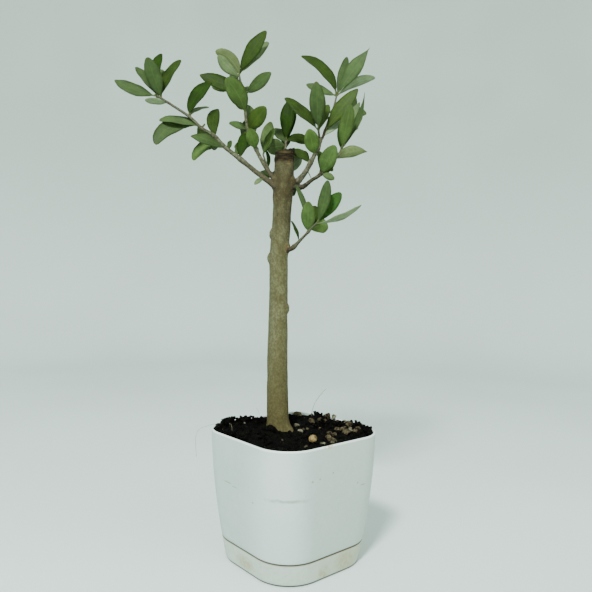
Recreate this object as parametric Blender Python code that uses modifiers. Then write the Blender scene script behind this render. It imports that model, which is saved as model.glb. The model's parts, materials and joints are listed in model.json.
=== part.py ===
"""A young olive grown as a bonsai: a short sawn-off trunk with slender shoots, in a square white
plastic pot on its own water tray. Metres, +Z up, the front towards -Y, and the origin at the
middle of the tray's underside. Run with: blender --background --python part.py"""

import math
import random

import bmesh
import bpy
from mathutils import Matrix, Vector, noise
from mathutils.bvhtree import BVHTree

MM = 0.001

# Clearance between touching pieces
GAP = 0.3 * MM

# Points this near each other are made one
WELD_WITHIN = 0.01 * MM

# Pot and water tray: a rounded square that narrows towards its foot along one swelling curve
POT_HEIGHT = 103.0 * MM
RIM_HALF_SIDE = 55.0 * MM
FOOT_HALF_SIDE = 46.8 * MM
RIM_CORNER = 27.3 * MM
FOOT_CORNER = 30.0 * MM
SIDE_SWELL = 1.8
POT_TURN = math.radians(39.9)
POT_WALL = 1.6 * MM
CORNER_STEPS = 8
SHELL_SHARP_FROM = 35
WALL_RINGS = 8

TRAY_HEIGHT = 17.4 * MM
TRAY_FLOOR = 1.8 * MM
TRAY_GROOVE = 0.6 * MM
TRAY_FIT = 0.4 * MM
TRAY_FOOT_BEVEL = (1.2 * MM, 0.9 * MM)
TRAY_RINGS = 3
SUNK_INSET = TRAY_FLOOR + TRAY_FIT + GAP

SOIL_HEIGHT = 99.5 * MM
SOIL_LUMP = 2.6 * MM
SOIL_LUMP_WIDTH = 11.0 * MM
SOIL_FINE_LUMPS = (2.3, 0.5)
SOIL_SHARP_FROM = 60

# Heaps of soil along the back and side walls, and beside the trunk: the place of the middle,
# how far it spreads and how high it stands, in millimetres
SOIL_HEAPS = (
    (-46, 24, 17, 3.2),
    (-28, 44, 14, 3.4),
    (30, 44, 15, 3.6),
    (50, 20, 15, 3.6),
    (-22, -5, 6.5, 6.0),
)
SOIL_RINGS = 7
SOIL_SEAT_RADIUS = 13.0 * MM
SOIL_SETTLE = 8.0 * MM

# Trunk: height, sideways and backwards place of its middle, and diameter, all in millimetres
TRUNK_SECTIONS = (
    (96, -12.2, 12, 22),
    (100, -12.2, 12, 20.8),
    (104, -12.5, 12, 19.2),
    (112, -12.9, 12, 18.4),
    (130, -13.4, 12, 17.8),
    (158, -13.7, 12, 17.2),
    (189, -13.6, 12.4, 16.1),
    (219, -13.4, 12.6, 15.3),
    (242, -13.7, 12.4, 15.7),
    (265, -12, 12.2, 15.6),
    (285, -11, 12, 15.6),
    (298, -10.6, 12, 17),
    (306, -10.3, 12, 17.6),
    (316, -9.9, 12, 16.4),
    (340, -9.2, 12, 16),
)
TRUNK_SIDES = 16
BARK_SHARP_FROM = 50
TRUNK_CUT_MIDDLE = Vector((-9.4, 12, 331)) * MM
TRUNK_CUT_NORMAL = Vector((-0.2, -0.16, 1.0))

# Bark knobs left by old side shoots: height, direction round the trunk in degrees from the
# right, with 90 at the back, and size in millimetres
KNOBS = (
    (262, 182, 3.2),
    (242, 172, 3.4),
    (250, -25, 3.6),
    (200, 0, 3.0),
    (226, 80, 3.2),
    (163, 110, 3.0),
    (303, -8, 4.6),
    (304, 196, 4.4),
)
KNOB_STRETCH = (0.8, 1.0, 1.15)
KNOB_SUNK = 0.35
KNOB_CLEARANCE = 1.3

# Root flare: direction and reach of each toe in millimetres, the height it fades out over, and
# how sharply a toe stands out
ROOT_FLARES = ((-20, 4.2), (150, 2.2), (75, 2.6))
FLARE_FOOT = 98
FLARE_HEIGHT = 12
FLARE_SHARPNESS = 6

# Shoots: the middle line from inside the trunk to the tip, and the diameters at its two ends,
# in millimetres
SHOOTS = {
    "left": (
        (-12, 10, 297), (-19, 8, 302), (-32, 5, 311), (-44, 2, 320), (-55, -1, 328),
        (-66, -4, 338), (-76, -6, 344), (-85, -8, 352), (-104, -14, 363), (-109, -16, 365.4),
    ),
    "middle": (
        (-11, 12, 300), (-18, 11, 307), (-26, 11, 318), (-33, 12, 331), (-40, 15, 347),
        (-43, 19, 364), (-43, 21, 380), (-47, 22, 389), (-49, 24, 397),
    ),
    "inner": ((-12, 13, 302), (-19, 17, 309), (-24, 21, 319), (-28, 22, 329)),
    "back": ((-10, 13, 308), (-10, 22, 314), (-10, 34, 327), (-9, 44, 346)),
    "right": (
        (-9, 12, 299), (-2, 13, 304), (2, 13, 306), (7, 12, 312), (11, 11, 319),
        (15, 10, 327), (18, 9, 332), (20, 9, 340),
    ),
    "right_inner": ((19.0, 8.1, 340.2), (17.6, 5, 346)),
    "right_top": ((20.9, 9.7, 339.9), (26, 14, 355), (31, 18, 369), (33, 20, 379)),
    "right_front": (
        (-9, 11, 299), (0, 8, 300), (6, 5, 300), (12, 0, 304), (19, -5, 308),
        (27, -9, 317), (33, -11, 322), (36, -13, 328),
    ),
    "low": (
        (-12, 11, 245), (-4, 6, 249), (0, 3, 252), (5, -1, 257), (10, -5, 262),
        (13, -8, 266), (17, -11, 269),
    ),
}
SHOOT_DIAMETERS = {
    "left": (4.8, 1.5),
    "middle": (4.0, 1.4),
    "inner": (2.6, 1.4),
    "back": (3.2, 1.6),
    "right": (5.6, 2.4),
    "right_inner": (2.0, 1.6),
    "right_top": (2.2, 1.4),
    "right_front": (4.0, 1.8),
    "low": (3.0, 1.6),
}
LIMB_STEP = 3.0 * MM
LIMB_SAMPLES = 12
LIMB_ROUNDING = 2

# Boughs: the bare first length of a shoot, up to this place along its middle line
BOUGHS = {"left": 3.0, "middle": 3.0, "right": 4.0, "right_front": 4.0, "low": 2.5}

# Masses of foliage: shoot, where the mass's stem starts and ends along it, and the leaves on its
# front side. A leaf has its place along the shoot, its bearing as seen from the front in degrees
# anticlockwise from the right, its lean towards the front in degrees, its length and width in
# millimetres, and its turn: 0 shows the upper face to the front, 90 the edge, 180 the
# underside. The last three, where given, are its curl and its sideways sweep in degrees, and
# the taper of its tip, where a larger number is more pointed.
MASSES = {
    "foliage_left": ("left", 3.0, 7.5, (
        (4.05, 165, 20, 31, 10.5, 30, 22, 10, 0.75),
        (4.1, 198, -12, 36, 12.5, 30, 30, 115),
        (4.0, 62, 30, 8.5, 5, 30),
        (4.8, 92, -33, 36, 10.5, 10, 22, -50, 0.7),
        (6.0, 172, 5, 34, 11.5, 45, 35, 15),
        (6.05, 207, 15, 45, 14.5, 20, 10, 110),
        (7.0, 62, -15, 37, 12.5, 20, 20, -45),
        (7.0, 37, -32, 22.5, 5.5, 40, 22, -60),
        (3.12, 82, -22, 27, 9.5, 15),
    )),
    "foliage_left_tip": ("left", 7.5, 9.0, (
        (9.0, 161, 5, 34.5, 11, 25, 5, -30, 0.75),
        (8.6, 127, -18, 35.5, 9.5, 40),
        (8.1, 108, 20, 32, 12, 5),
        (8.8, 90, -20, 42, 11, 15, 22, -38),
        (8.2, 64, -5, 35.5, 11, 30, 22, -35),
        (7.8, 178, 15, 18, 6.5, 125, 22, -28),
    )),
    "foliage_middle_low": ("middle", 3.0, 5.5, (
        (3.05, 109, 50, 21, 10.5, 0),
        (4.0, 46, 35, 27, 13.5, 0),
        (4.05, 168, 30, 18, 8.5, 40),
        (4.9, 122, 25, 33, 16, 5, 22, 30),
    )),
    "foliage_middle_top": ("middle", 5.5, 8.0, (
        (6.0, 157, -8, 44, 13.7, 15, 5, 0, 0.75),
        (5.95, 33, 25, 29, 11.5, 10, 22, 15, 0.65),
        (8.0, 56, 8, 42, 13.3, 15, 22, 0, 0.65),
        (7.9, 52, -12, 40.5, 12, 20),
        (7.6, 137, 12, 30, 11, 160, 15, 70),
        (7.5, 143, 33, 26, 11, 200),
    )),
    "foliage_inner": ("inner", 0.0, 3.0, (
        (3.0, 79, -20, 34, 12.5, 150, 22, 12),
        (2.95, 65, 15, 24.5, 8, 35),
        (1.9, 97, -35, 22, 6.5, 60),
        (0.9, 145, -45, 22, 9, 30),
    )),
    "foliage_back": ("back", 0.0, 3.0, (
        (3.0, 87, -5, 37, 12.8, 15),
        (2.9, 79, -22, 36, 11, 20),
        (2.95, 0, -20, 24, 10.5, 20, 22, -70),
        (2.8, 123, -30, 23, 10.5, 25),
        (2.7, 193, 15, 18, 14.5, 150),
        (1.1, 42, -5, 20, 10, 190),
    )),
    "foliage_right_low": ("right", 4.0, 7.0, (
        (5.0, 108, 45, 25, 12.5, 0),
        (4.15, 134, -36, 26, 11, 30),
    )),
    "foliage_right_inner": ("right_inner", 0.0, 1.0, (
        (1.0, 94, 15, 38, 13.3, 5, 22, 0, 0.65),
        (0.9, 133, -15, 42.5, 12.5, 35),
        (0.8, 72, -25, 30, 9, 20),
    )),
    "foliage_right_top": ("right_top", 0.0, 3.0, (
        (0.5, 52, 5, 44, 12.6, 15, 22, 0, 0.7),
        (2.9, 158, -5, 28, 9, 25, 22, -25),
        (2.8, 28, -8, 39, 10, 120, 15, -40),
        (3.0, 54, 10, 47, 12.5, 8, 22, 0, 1.8),
        (2.95, 76, -15, 39, 8.2, 25, 22, 15),
        (3.0, 131, -8, 49, 11.5, 25, 22, 60, 0.7),
        (0.15, 46, -20, 33, 8.5, 20),
    )),
    "foliage_right_front": ("right_front", 4.0, 7.0, (
        (4.1, 62, 40, 28, 13, 0),
        (4.1, 334, 30, 14, 5.8, 150),
        (6.7, 80, 15, 35, 11.3, 0),
        (7.0, 69, -5, 49, 12.5, 70, -40, 0, 1.8),
        (6.95, 70, -18, 45, 11, 160, 22, 0, 0.8),
        (5.3, 12, 10, 29, 9.5, 150, 15, -50, 1.2),
        (6.5, 84, -8, 28, 9, 5),
    )),
    "foliage_low": ("low", 2.5, 6.0, (
        (4.0, 91, 30, 27, 11.3, 0),
        (6.0, 77, 10, 35, 9.5, 10, 22, 20),
        (5.95, 53, -12, 33, 11.5, 10),
        (5.9, 22, 15, 39, 9, 115, -35, 12, 0.9),
        (4.4, 30, -45, 24, 14.5, 0),
        (5.5, 90, -45, 25, 8.5, 0),
        (4.2, 106, -5, 40, 9, 60),
        (2.65, 111, -10, 19, 5, 60),
    )),
}

# Spurs: short twigs at the back of each stem, with the leaves that fill the crown behind. They
# are drawn with one seed, and one is left out where it would touch another part, come nearer to
# another mass's stem, or show in the open gaps of the front.
SPUR_SEED = 5
SPURS_TRIED = 150
SPURS_MOST = 3
SPUR_FROM = 0.3
SPUR_LENGTH = (6.0, 13.0)
SPUR_DIAMETERS = (1.5, 1.1)
SPUR_SIDES = 4
SPUR_SINK = 0.7 * MM
SPUR_LEANS = (-85, -35)
SPUR_LEAVES_TRIED = 60
SPUR_LEAVES_MOST = 3
BACK_LEAF_LEANS = (-80, -10)
BACK_LEAF_LENGTH = (21, 32)
BACK_LEAF_SHAPE = 0.37
BACK_LEAF_TURNS = (-30, 30)
BACK_LEAF_CUTS = (0.0, 0.12, 0.4, 0.77, 1.0)
STEM_SAMPLES = 8
FREE_FROM = 0.25
FREE_CUTS = (0.25, 0.5, 0.75, 1.0)
SPARE_THICKNESS = 1.6 * MM
SPARE_DIAMETERS = (3.5, 3.5)
SCREENED_SHARE = 0.8
FRONT_EYE = Vector((0.0, -481.0, 222.0)) * MM

# Leaf blade: a short stalk, widest past its middle, with a blunt rounded tip. A smaller taper
# gives a fuller half: one for the half towards the stalk, one for the half towards the tip.
LEAF_CUTS = (0.0, 0.08, 0.16, 0.31, 0.53, 0.78, 0.94, 1.0)
LEAF_PIECES = 24
LEAF_THICKNESS = 0.55 * MM
LEAF_SUNK = 0.3 * MM
LEAF_STALK_SHARE = 0.08
LEAF_STALK_WIDTH = 1.3 * MM
LEAF_WIDEST = 1.05
LEAF_BASE_TAPER = 0.75
LEAF_TIP_TAPER = 0.55
LEAF_FOLD = 0.12
LEAF_CURL = 22.0


def clear_scene():
    for obj in list(bpy.data.objects):
        bpy.data.objects.remove(obj, do_unlink=True)


def new_collection(name, hidden=False):
    collection = bpy.data.collections.new(name)
    bpy.context.scene.collection.children.link(collection)
    collection.hide_render = hidden
    return collection


def as_helper(obj):
    """Keeps a shape that is only used up by a Boolean out of the render."""
    obj.hide_render = True
    obj.display_type = "WIRE"


def new_material(name, colour, roughness, metallic=0.0):
    material = bpy.data.materials.new(name)
    material.use_nodes = True
    shader = material.node_tree.nodes["Principled BSDF"]
    shader.inputs["Base Color"].default_value = (*colour, 1.0)
    shader.inputs["Roughness"].default_value = roughness
    shader.inputs["Metallic"].default_value = metallic
    return material


def add_mesh(name, bm, collection, material, smooth_below=None):
    """The bmesh as a named object; faces meeting below the given angle are shaded smooth."""
    bmesh.ops.recalc_face_normals(bm, faces=bm.faces)
    mesh = bpy.data.meshes.new(name)
    bm.to_mesh(mesh)
    bm.free()
    mesh.materials.append(material)
    if smooth_below is not None:
        mesh.shade_smooth()
        mesh.set_sharp_from_angle(angle=math.radians(smooth_below))
    obj = bpy.data.objects.new(name, mesh)
    collection.objects.link(obj)
    return obj


def bake_modifiers(obj):
    """Applies the object's modifiers, so that its mesh is what they make of it."""
    bpy.context.view_layer.update()
    graph = bpy.context.evaluated_depsgraph_get()
    baked = bpy.data.meshes.new_from_object(obj.evaluated_get(graph))
    obj.modifiers.clear()
    obj.data = baked


def remove_object(obj):
    bpy.data.objects.remove(obj, do_unlink=True)


def cut_away(obj, cutter):
    """Takes the cutter's space out of the object, and then removes the cutter."""
    as_helper(cutter)
    cut = obj.modifiers.new("clearance", "BOOLEAN")
    cut.operation = "DIFFERENCE"
    cut.solver = "EXACT"
    cut.object = cutter
    bake_modifiers(obj)
    remove_object(cutter)


def keep_main_body(obj):
    """Drops every loose scrap and fills every sealed hollow, by keeping the largest shell."""
    bm = bmesh.new()
    bm.from_mesh(obj.data)
    left = set(bm.verts)
    shells = []
    while left:
        shell = set()
        edge = [left.pop()]
        while edge:
            vertex = edge.pop()
            shell.add(vertex)
            near = {e.other_vert(vertex) for e in vertex.link_edges} & left
            left -= near
            edge.extend(near)
        shells.append(shell)
    main = max(shells, key=len)
    for shell in shells:
        if shell is not main:
            bmesh.ops.delete(bm, geom=list(shell), context="VERTS")
    bm.to_mesh(obj.data)
    bm.free()


def fuse(obj, collection):
    """Joins every object of the collection to this one, and then removes them."""
    for other in collection.objects:
        as_helper(other)
    union = obj.modifiers.new("union", "BOOLEAN")
    union.operation = "UNION"
    union.solver = "EXACT"
    union.operand_type = "COLLECTION"
    union.collection = collection
    bake_modifiers(obj)
    for other in list(collection.objects):
        remove_object(other)
    bpy.data.collections.remove(collection)
    keep_main_body(obj)


def rounded_square(half_side, corner, z):
    """One ring of points at height z, turned as the pot stands."""
    ring = []
    for quarter in range(4):
        middle = Vector((half_side - corner, half_side - corner, 0.0))
        middle.rotate(Matrix.Rotation(quarter * math.pi / 2, 3, "Z"))
        for step in range(CORNER_STEPS + 1):
            angle = (quarter + step / CORNER_STEPS) * math.pi / 2
            point = middle + corner * Vector((math.cos(angle), math.sin(angle), 0.0))
            point.rotate(Matrix.Rotation(POT_TURN, 3, "Z"))
            ring.append(point + Vector((0.0, 0.0, z)))
    return ring


def side_at(z, inset=0.0):
    """Half the side and the corner radius of the pot's outer face at height z, less an inset."""
    down = min(1.0, max(0.0, 1.0 - z / POT_HEIGHT)) ** SIDE_SWELL
    half_side = RIM_HALF_SIDE + (FOOT_HALF_SIDE - RIM_HALF_SIDE) * down
    corner = RIM_CORNER + (FOOT_CORNER - RIM_CORNER) * down
    return half_side - inset, corner - inset


def square_ring(z, inset=0.0):
    half_side, corner = side_at(z, inset)
    return rounded_square(half_side, corner, z)


def steps(start, end, count):
    return [start + (end - start) * i / count for i in range(count + 1)]


def skin_of_rings(rings, close_first=True, close_last=False):
    """A bmesh surface drawn up through the rings: each is the last one's edge extruded."""
    bm = bmesh.new()
    edge = bmesh.ops.create_circle(bm, segments=len(rings[0]), radius=1.0)["verts"]
    for vertex, place in zip(edge, rings[0]):
        vertex.co = place
    if close_first:
        bm.faces.new(edge)
    for ring in rings[1:]:
        sides = [bm.edges.get((edge[i - 1], edge[i])) for i in range(len(edge))]
        made = bmesh.ops.extrude_edge_only(bm, edges=sides)["geom"]
        fresh = {v for v in made if isinstance(v, bmesh.types.BMVert)}
        grown = []
        for vertex in edge:
            above = [e.other_vert(vertex) for e in vertex.link_edges]
            grown.append(next(v for v in above if v in fresh))
        for vertex, place in zip(grown, ring):
            vertex.co = place
        edge = grown
    if close_last:
        bm.faces.new(edge)
    return bm


def make_shell(name, rings, wall, collection, material):
    """An open vessel: the outer face through the rings, thickened inwards."""
    shell = add_mesh(name, skin_of_rings(rings), collection, material, smooth_below=SHELL_SHARP_FROM)
    thicken = shell.modifiers.new("wall", "SOLIDIFY")
    thicken.thickness = wall
    thicken.offset = -1.0
    thicken.use_even_offset = True
    return shell


def make_tray(collection, material):
    inset, rise = TRAY_FOOT_BEVEL
    foot = rounded_square(*side_at(0.0, inset), 0.0)
    lip = [square_ring(z) for z in [rise] + steps(0.0, TRAY_HEIGHT, TRAY_RINGS)[1:]]
    return make_shell("water_tray", [foot] + lip, TRAY_FLOOR, collection, material)


def make_pot(collection, material):
    ledge = TRAY_HEIGHT + TRAY_GROOVE
    floor = TRAY_FLOOR + GAP
    sunk = [square_ring(z, SUNK_INSET) for z in (floor, ledge)]
    wall = [square_ring(z) for z in steps(ledge, POT_HEIGHT, WALL_RINGS)]
    return make_shell("pot", sunk + wall, POT_WALL, collection, material)


def soil_lump(x, y):
    """How far the surface stands above the soil's level at this place."""
    place = Vector((x, y, 0.0)) / SOIL_LUMP_WIDTH
    finer, share = SOIL_FINE_LUMPS
    lump = SOIL_LUMP * (noise.noise(place) + share * noise.noise(place * finer))
    for heap_x, heap_y, spread, rise in SOIL_HEAPS:
        away = math.hypot(x - heap_x * MM, y - heap_y * MM) / (spread * MM)
        lump += rise * MM * math.exp(-away ** 2)
    return lump


def make_soil(collection, material):
    """The pot's filling: it follows the inner wall, and its lumpy top has a level seat for the
    trunk."""
    inset = POT_WALL + GAP
    low = TRAY_FLOOR + GAP + POT_WALL + GAP
    shoulder = TRAY_HEIGHT + TRAY_GROOVE + POT_WALL + GAP
    rings = [square_ring(z, SUNK_INSET + inset) for z in (low, shoulder)]
    rings += [square_ring(z, inset) for z in steps(shoulder, SOIL_HEIGHT, WALL_RINGS - 1)]
    bm = skin_of_rings(rings)
    edge = [e for e in bm.edges if e.is_boundary]
    top = {v for e in edge for v in e.verts}
    seat = Vector((TRUNK_SECTIONS[0][1], TRUNK_SECTIONS[0][2], SOIL_HEIGHT / MM)) * MM
    for ring in range(SOIL_RINGS):
        made = bmesh.ops.extrude_edge_only(bm, edges=edge)["geom"]
        fresh = [v for v in made if isinstance(v, bmesh.types.BMVert)]
        edge = [e for e in made if isinstance(e, bmesh.types.BMEdge) and e.is_boundary]
        for vertex in fresh:
            reach = (vertex.co - seat).length - SOIL_SEAT_RADIUS
            vertex.co += (seat - vertex.co).normalized() * reach / (SOIL_RINGS - ring)
        top.update(fresh)
    bmesh.ops.contextual_create(bm, geom=edge)
    for vertex in top:
        away = (vertex.co - seat).length - SOIL_SEAT_RADIUS
        settled = min(1.0, max(0.0, away / SOIL_SETTLE))
        vertex.co.z += settled * soil_lump(vertex.co.x, vertex.co.y)
    bmesh.ops.triangulate(bm, faces=bm.faces)
    return add_mesh("soil", bm, collection, material, smooth_below=SOIL_SHARP_FROM)


def trunk_section(z):
    """Middle and radius of the trunk at height z in metres, between its listed sections."""
    rows = TRUNK_SECTIONS
    height = min(max(z / MM, rows[0][0]), rows[-1][0])
    upper = next(i for i in range(1, len(rows)) if height <= rows[i][0])
    low, high = rows[upper - 1], rows[upper]
    share = (height - low[0]) / (high[0] - low[0])
    x, y, across = (low[k] + (high[k] - low[k]) * share for k in (1, 2, 3))
    return Vector((x, y, height)) * MM, across * MM / 2


def trunk_ring(z, margin):
    middle, radius = trunk_section(z)
    flare = max(0.0, 1.0 - (z / MM - FLARE_FOOT) / FLARE_HEIGHT) ** 2
    ring = []
    for side in range(TRUNK_SIDES):
        angle = 2 * math.pi * side / TRUNK_SIDES
        toe = 0.0
        for direction, reach in ROOT_FLARES:
            towards = math.cos(angle - math.radians(direction))
            toe += reach * MM * flare * max(0.0, towards) ** FLARE_SHARPNESS
        out = radius + margin + toe
        ring.append(middle + out * Vector((math.cos(angle), math.sin(angle), 0.0)))
    return ring


def trunk_body(name, collection, material, margin=0.0):
    """The trunk's loft, cut level at the soil and aslant at the top, with an even margin."""
    foot = SOIL_HEIGHT + GAP - margin
    heights = [foot] + [row[0] * MM for row in TRUNK_SECTIONS if row[0] * MM > foot + MM]
    rings = [trunk_ring(z, margin) for z in heights]
    bm = skin_of_rings(rings, close_last=True)
    geometry = bm.verts[:] + bm.edges[:] + bm.faces[:]
    cut = bmesh.ops.bisect_plane(
        bm, geom=geometry, plane_co=TRUNK_CUT_MIDDLE + TRUNK_CUT_NORMAL.normalized() * margin,
        plane_no=TRUNK_CUT_NORMAL, clear_outer=True)
    rim = [e for e in cut["geom_cut"] if isinstance(e, bmesh.types.BMEdge)]
    bmesh.ops.contextual_create(bm, geom=rim)
    return add_mesh(name, bm, collection, material, smooth_below=BARK_SHARP_FROM)


def make_knob(height, direction, size, margin, collection, material):
    """A low, round swelling half sunk in the bark."""
    middle, radius = trunk_section(height * MM)
    angle = math.radians(direction)
    out = Vector((math.cos(angle), math.sin(angle), 0.0))
    bm = bmesh.new()
    bmesh.ops.create_icosphere(bm, subdivisions=2, radius=size * MM + KNOB_CLEARANCE * margin)
    bmesh.ops.scale(bm, vec=KNOB_STRETCH, verts=bm.verts)
    bmesh.ops.rotate(bm, matrix=Matrix.Rotation(angle, 3, "Z"), verts=bm.verts)
    bmesh.ops.translate(bm, vec=middle + out * (radius - KNOB_SUNK * size * MM), verts=bm.verts)
    return add_mesh("knob", bm, collection, material)


def make_trunk(name, collection, material, margin=0.0):
    """The trunk with its knobs; a margin gives the space that its neighbours keep clear of."""
    trunk = trunk_body(name, collection, material, margin)
    helpers = new_collection(name + "_knobs", hidden=True)
    for height, direction, size in KNOBS:
        make_knob(height, direction, size, margin, helpers, material)
    fuse(trunk, helpers)
    trunk.data.shade_smooth()
    trunk.data.set_sharp_from_angle(angle=math.radians(BARK_SHARP_FROM))
    return trunk


def shoot_at(points, place):
    """The point this far along the shoot's middle line, in metres, on a smooth curve."""
    last = len(points) - 1
    place = min(max(place, 0.0), float(last))
    index = min(int(place), last - 1)
    share = place - index
    a, b, c, d = (Vector(points[min(max(index + k, 0), last)]) for k in (-1, 0, 1, 2))
    curve = 2 * b + (c - a) * share + (2 * a - 5 * b + 4 * c - d) * share ** 2
    curve += (3 * b - a - 3 * c + d) * share ** 3
    return curve * 0.5 * MM


def shoot_radius(shoot, place):
    thick, thin = SHOOT_DIAMETERS[shoot]
    share = place / (len(SHOOTS[shoot]) - 1)
    return (thick + (thin - thick) * share) * MM / 2


def make_limb(name, shoot, start, end, collection, material, margin=0.0, lead=0.0):
    """A tapering limb along the shoot between two places, its start moved on by a lead."""
    points = SHOOTS[shoot]
    places = steps(start, end, LIMB_SAMPLES * max(1, round(end - start)))
    line = [shoot_at(points, place) for place in places]
    kept = [(line[0], places[0])]
    for point, place in zip(line[1:], places[1:]):
        if (point - kept[-1][0]).length >= LIMB_STEP:
            kept.append((point, place))
    if (line[-1] - kept[-1][0]).length < LIMB_STEP / 2 and len(kept) > 1:
        kept.pop()
    kept.append((line[-1], places[-1]))
    first = kept[0][0] + (kept[1][0] - kept[0][0]).normalized() * lead
    kept[0] = (first, kept[0][1])
    curve = bpy.data.curves.new(name, "CURVE")
    curve.dimensions = "3D"
    curve.bevel_depth = 1.0
    curve.bevel_resolution = LIMB_ROUNDING
    curve.use_fill_caps = True
    spline = curve.splines.new("POLY")
    spline.points.add(len(kept) - 1)
    for knot, (point, place) in zip(spline.points, kept):
        knot.co = (*point, 1.0)
        knot.radius = shoot_radius(shoot, place) + margin
    drawn = bpy.data.objects.new(name + "_line", curve)
    collection.objects.link(drawn)
    bpy.context.view_layer.update()
    graph = bpy.context.evaluated_depsgraph_get()
    mesh = bpy.data.meshes.new_from_object(drawn.evaluated_get(graph))
    bm = bmesh.new()
    bm.from_mesh(mesh)
    bmesh.ops.remove_doubles(bm, verts=bm.verts, dist=WELD_WITHIN)
    remove_object(drawn)
    bpy.data.meshes.remove(mesh)
    return add_mesh(name, bm, collection, material, smooth_below=BARK_SHARP_FROM)


def direction_of(bearing, lean):
    bearing, lean = math.radians(bearing), math.radians(lean)
    flat = Vector((math.cos(bearing), 0.0, math.sin(bearing)))
    return flat * math.cos(lean) + Vector((0.0, -math.sin(lean), 0.0))


def leaf_axes(bearing, lean, turn):
    """Along the leaf, across it and out of its upper face."""
    along = direction_of(bearing, lean)
    facing = direction_of(bearing, lean + 90)
    sideways = along.cross(facing)
    if sideways.z < 0:
        sideways.negate()
    out = facing * math.cos(math.radians(turn)) + sideways * math.sin(math.radians(turn))
    return along, out.cross(along), out


def blade_half_width(share, width, tip_taper):
    """Half the leaf's width at a share of its length: a narrow stalk, then the blade."""
    stalk = LEAF_STALK_WIDTH / 2
    if share < LEAF_STALK_SHARE:
        return stalk
    blade = ((share - LEAF_STALK_SHARE) / (1 - LEAF_STALK_SHARE)) ** LEAF_WIDEST
    taper = LEAF_BASE_TAPER if blade < 0.5 else tip_taper
    swell = math.sin(math.pi * blade) ** taper if blade < 1 else 0.0
    return max(stalk * (1 - blade), width / 2 * swell)


def blade_point(share, side, length, width, curl, sweep, tip_taper):
    """A point of the blade in its own axes: along, across and out of the upper face."""
    bend = math.radians(curl)
    drift = math.radians(sweep)
    along = across = out = 0.0
    for i in range(round(share * LEAF_PIECES)):
        t = (i + 0.5) / LEAF_PIECES
        rise = bend * (0.5 - t)
        swing = drift * (t - 0.5)
        along += math.cos(rise) * math.cos(swing) / LEAF_PIECES
        across += math.cos(rise) * math.sin(swing) / LEAF_PIECES
        out += math.sin(rise) / LEAF_PIECES
    half = blade_half_width(share, width, tip_taper)
    swing = drift * (share - 0.5)
    rise = bend * (0.5 - share)
    fold = LEAF_FOLD * half * abs(side)
    return Vector((
        along * length - side * half * math.sin(swing) - fold * math.sin(rise),
        across * length + side * half * math.cos(swing),
        out * length + fold * math.cos(rise),
    ))


def blade(root, leaf, cuts, thickness):
    """A bmesh of one leaf blade with its stalk, cut across at these shares of its length."""
    bearing, lean, length, width, turn = leaf[1:6]
    curl = leaf[6] if len(leaf) > 6 else LEAF_CURL
    sweep = leaf[7] if len(leaf) > 7 else 0.0
    tip_taper = leaf[8] if len(leaf) > 8 else LEAF_TIP_TAPER
    along, across, out = leaf_axes(bearing, lean, turn)
    swing = sweep if out.y < 0 else -sweep
    bm = bmesh.new()
    last = len(cuts) - 1
    bmesh.ops.create_grid(bm, x_segments=last, y_segments=2, size=0.5)
    for vertex in bm.verts:
        share = cuts[round((vertex.co.x + 0.5) * last)]
        side = round(vertex.co.y * 2)
        a, b, c = blade_point(share, side, length * MM, width * MM, curl, swing, tip_taper)
        vertex.co = root + along * (a - LEAF_SUNK) + across * b + out * c
    bmesh.ops.remove_doubles(bm, verts=bm.verts, dist=WELD_WITHIN)
    bmesh.ops.recalc_face_normals(bm, faces=bm.faces)
    bmesh.ops.solidify(bm, geom=bm.faces[:], thickness=thickness)
    return bm


def twig(start, end, diameters):
    """A bmesh of one four-sided tapering twig."""
    line = end - start
    bm = bmesh.new()
    bmesh.ops.create_cone(
        bm, cap_ends=True, segments=SPUR_SIDES, radius1=diameters[0] * MM / 2,
        radius2=diameters[1] * MM / 2, depth=line.length)
    upright = Vector((0.0, 0.0, 1.0))
    bmesh.ops.rotate(bm, matrix=upright.rotation_difference(line).to_matrix(), verts=bm.verts)
    bmesh.ops.translate(bm, vec=(start + end) / 2, verts=bm.verts)
    return bm


def tree_of(bm):
    """A search tree of the bmesh's faces, for touch and ray tests."""
    tree = BVHTree.FromBMesh(bm)
    bm.free()
    return tree


def listed_trees(limbs, collection, material):
    """Search trees of the limbs, of every mass's stem and of every listed leaf."""
    graph = bpy.context.evaluated_depsgraph_get()
    trees = [BVHTree.FromObject(limb, graph) for limb in limbs]
    for shoot, start, end, leaves in MASSES.values():
        stem = make_limb("stem", shoot, start, end, collection, material)
        trees.append(BVHTree.FromObject(stem, bpy.context.evaluated_depsgraph_get()))
        remove_object(stem)
        for leaf in leaves:
            trees.append(tree_of(blade(leaf_root(shoot, leaf), leaf, LEAF_CUTS, LEAF_THICKNESS)))
    return trees


def stem_samples(name):
    shoot, start, end, _ = MASSES[name]
    return [shoot_at(SHOOTS[shoot], place) for place in steps(start, end, STEM_SAMPLES)]


def in_own_space(name, points):
    """Whether each point is nearer to this mass's stem than to any other mass's."""
    stems = {other: stem_samples(other) for other in MASSES}
    for point in points:
        near = {k: min((point - knot).length for knot in line) for k, line in stems.items()}
        if min(near, key=near.get) != name:
            return False
    return True


def screened(points, trees):
    """Whether something listed stands between nearly all of these points and the front."""
    hidden = 0
    for point in points:
        towards = (FRONT_EYE - point).normalized()
        hidden += any(tree.ray_cast(point, towards)[0] for tree in trees)
    return hidden >= SCREENED_SHARE * len(points)


def fits(name, bm, trees, screens):
    """The shape's search tree if it is clear of every part so far, in its mass's space and out
    of sight from the front, and None if not."""
    points = [v.co.copy() for v in bm.verts]
    tree = tree_of(bm)
    if any(tree.overlap(other) for other in trees):
        return None
    if not in_own_space(name, points) or not screened(points, screens):
        return None
    return tree


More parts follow.
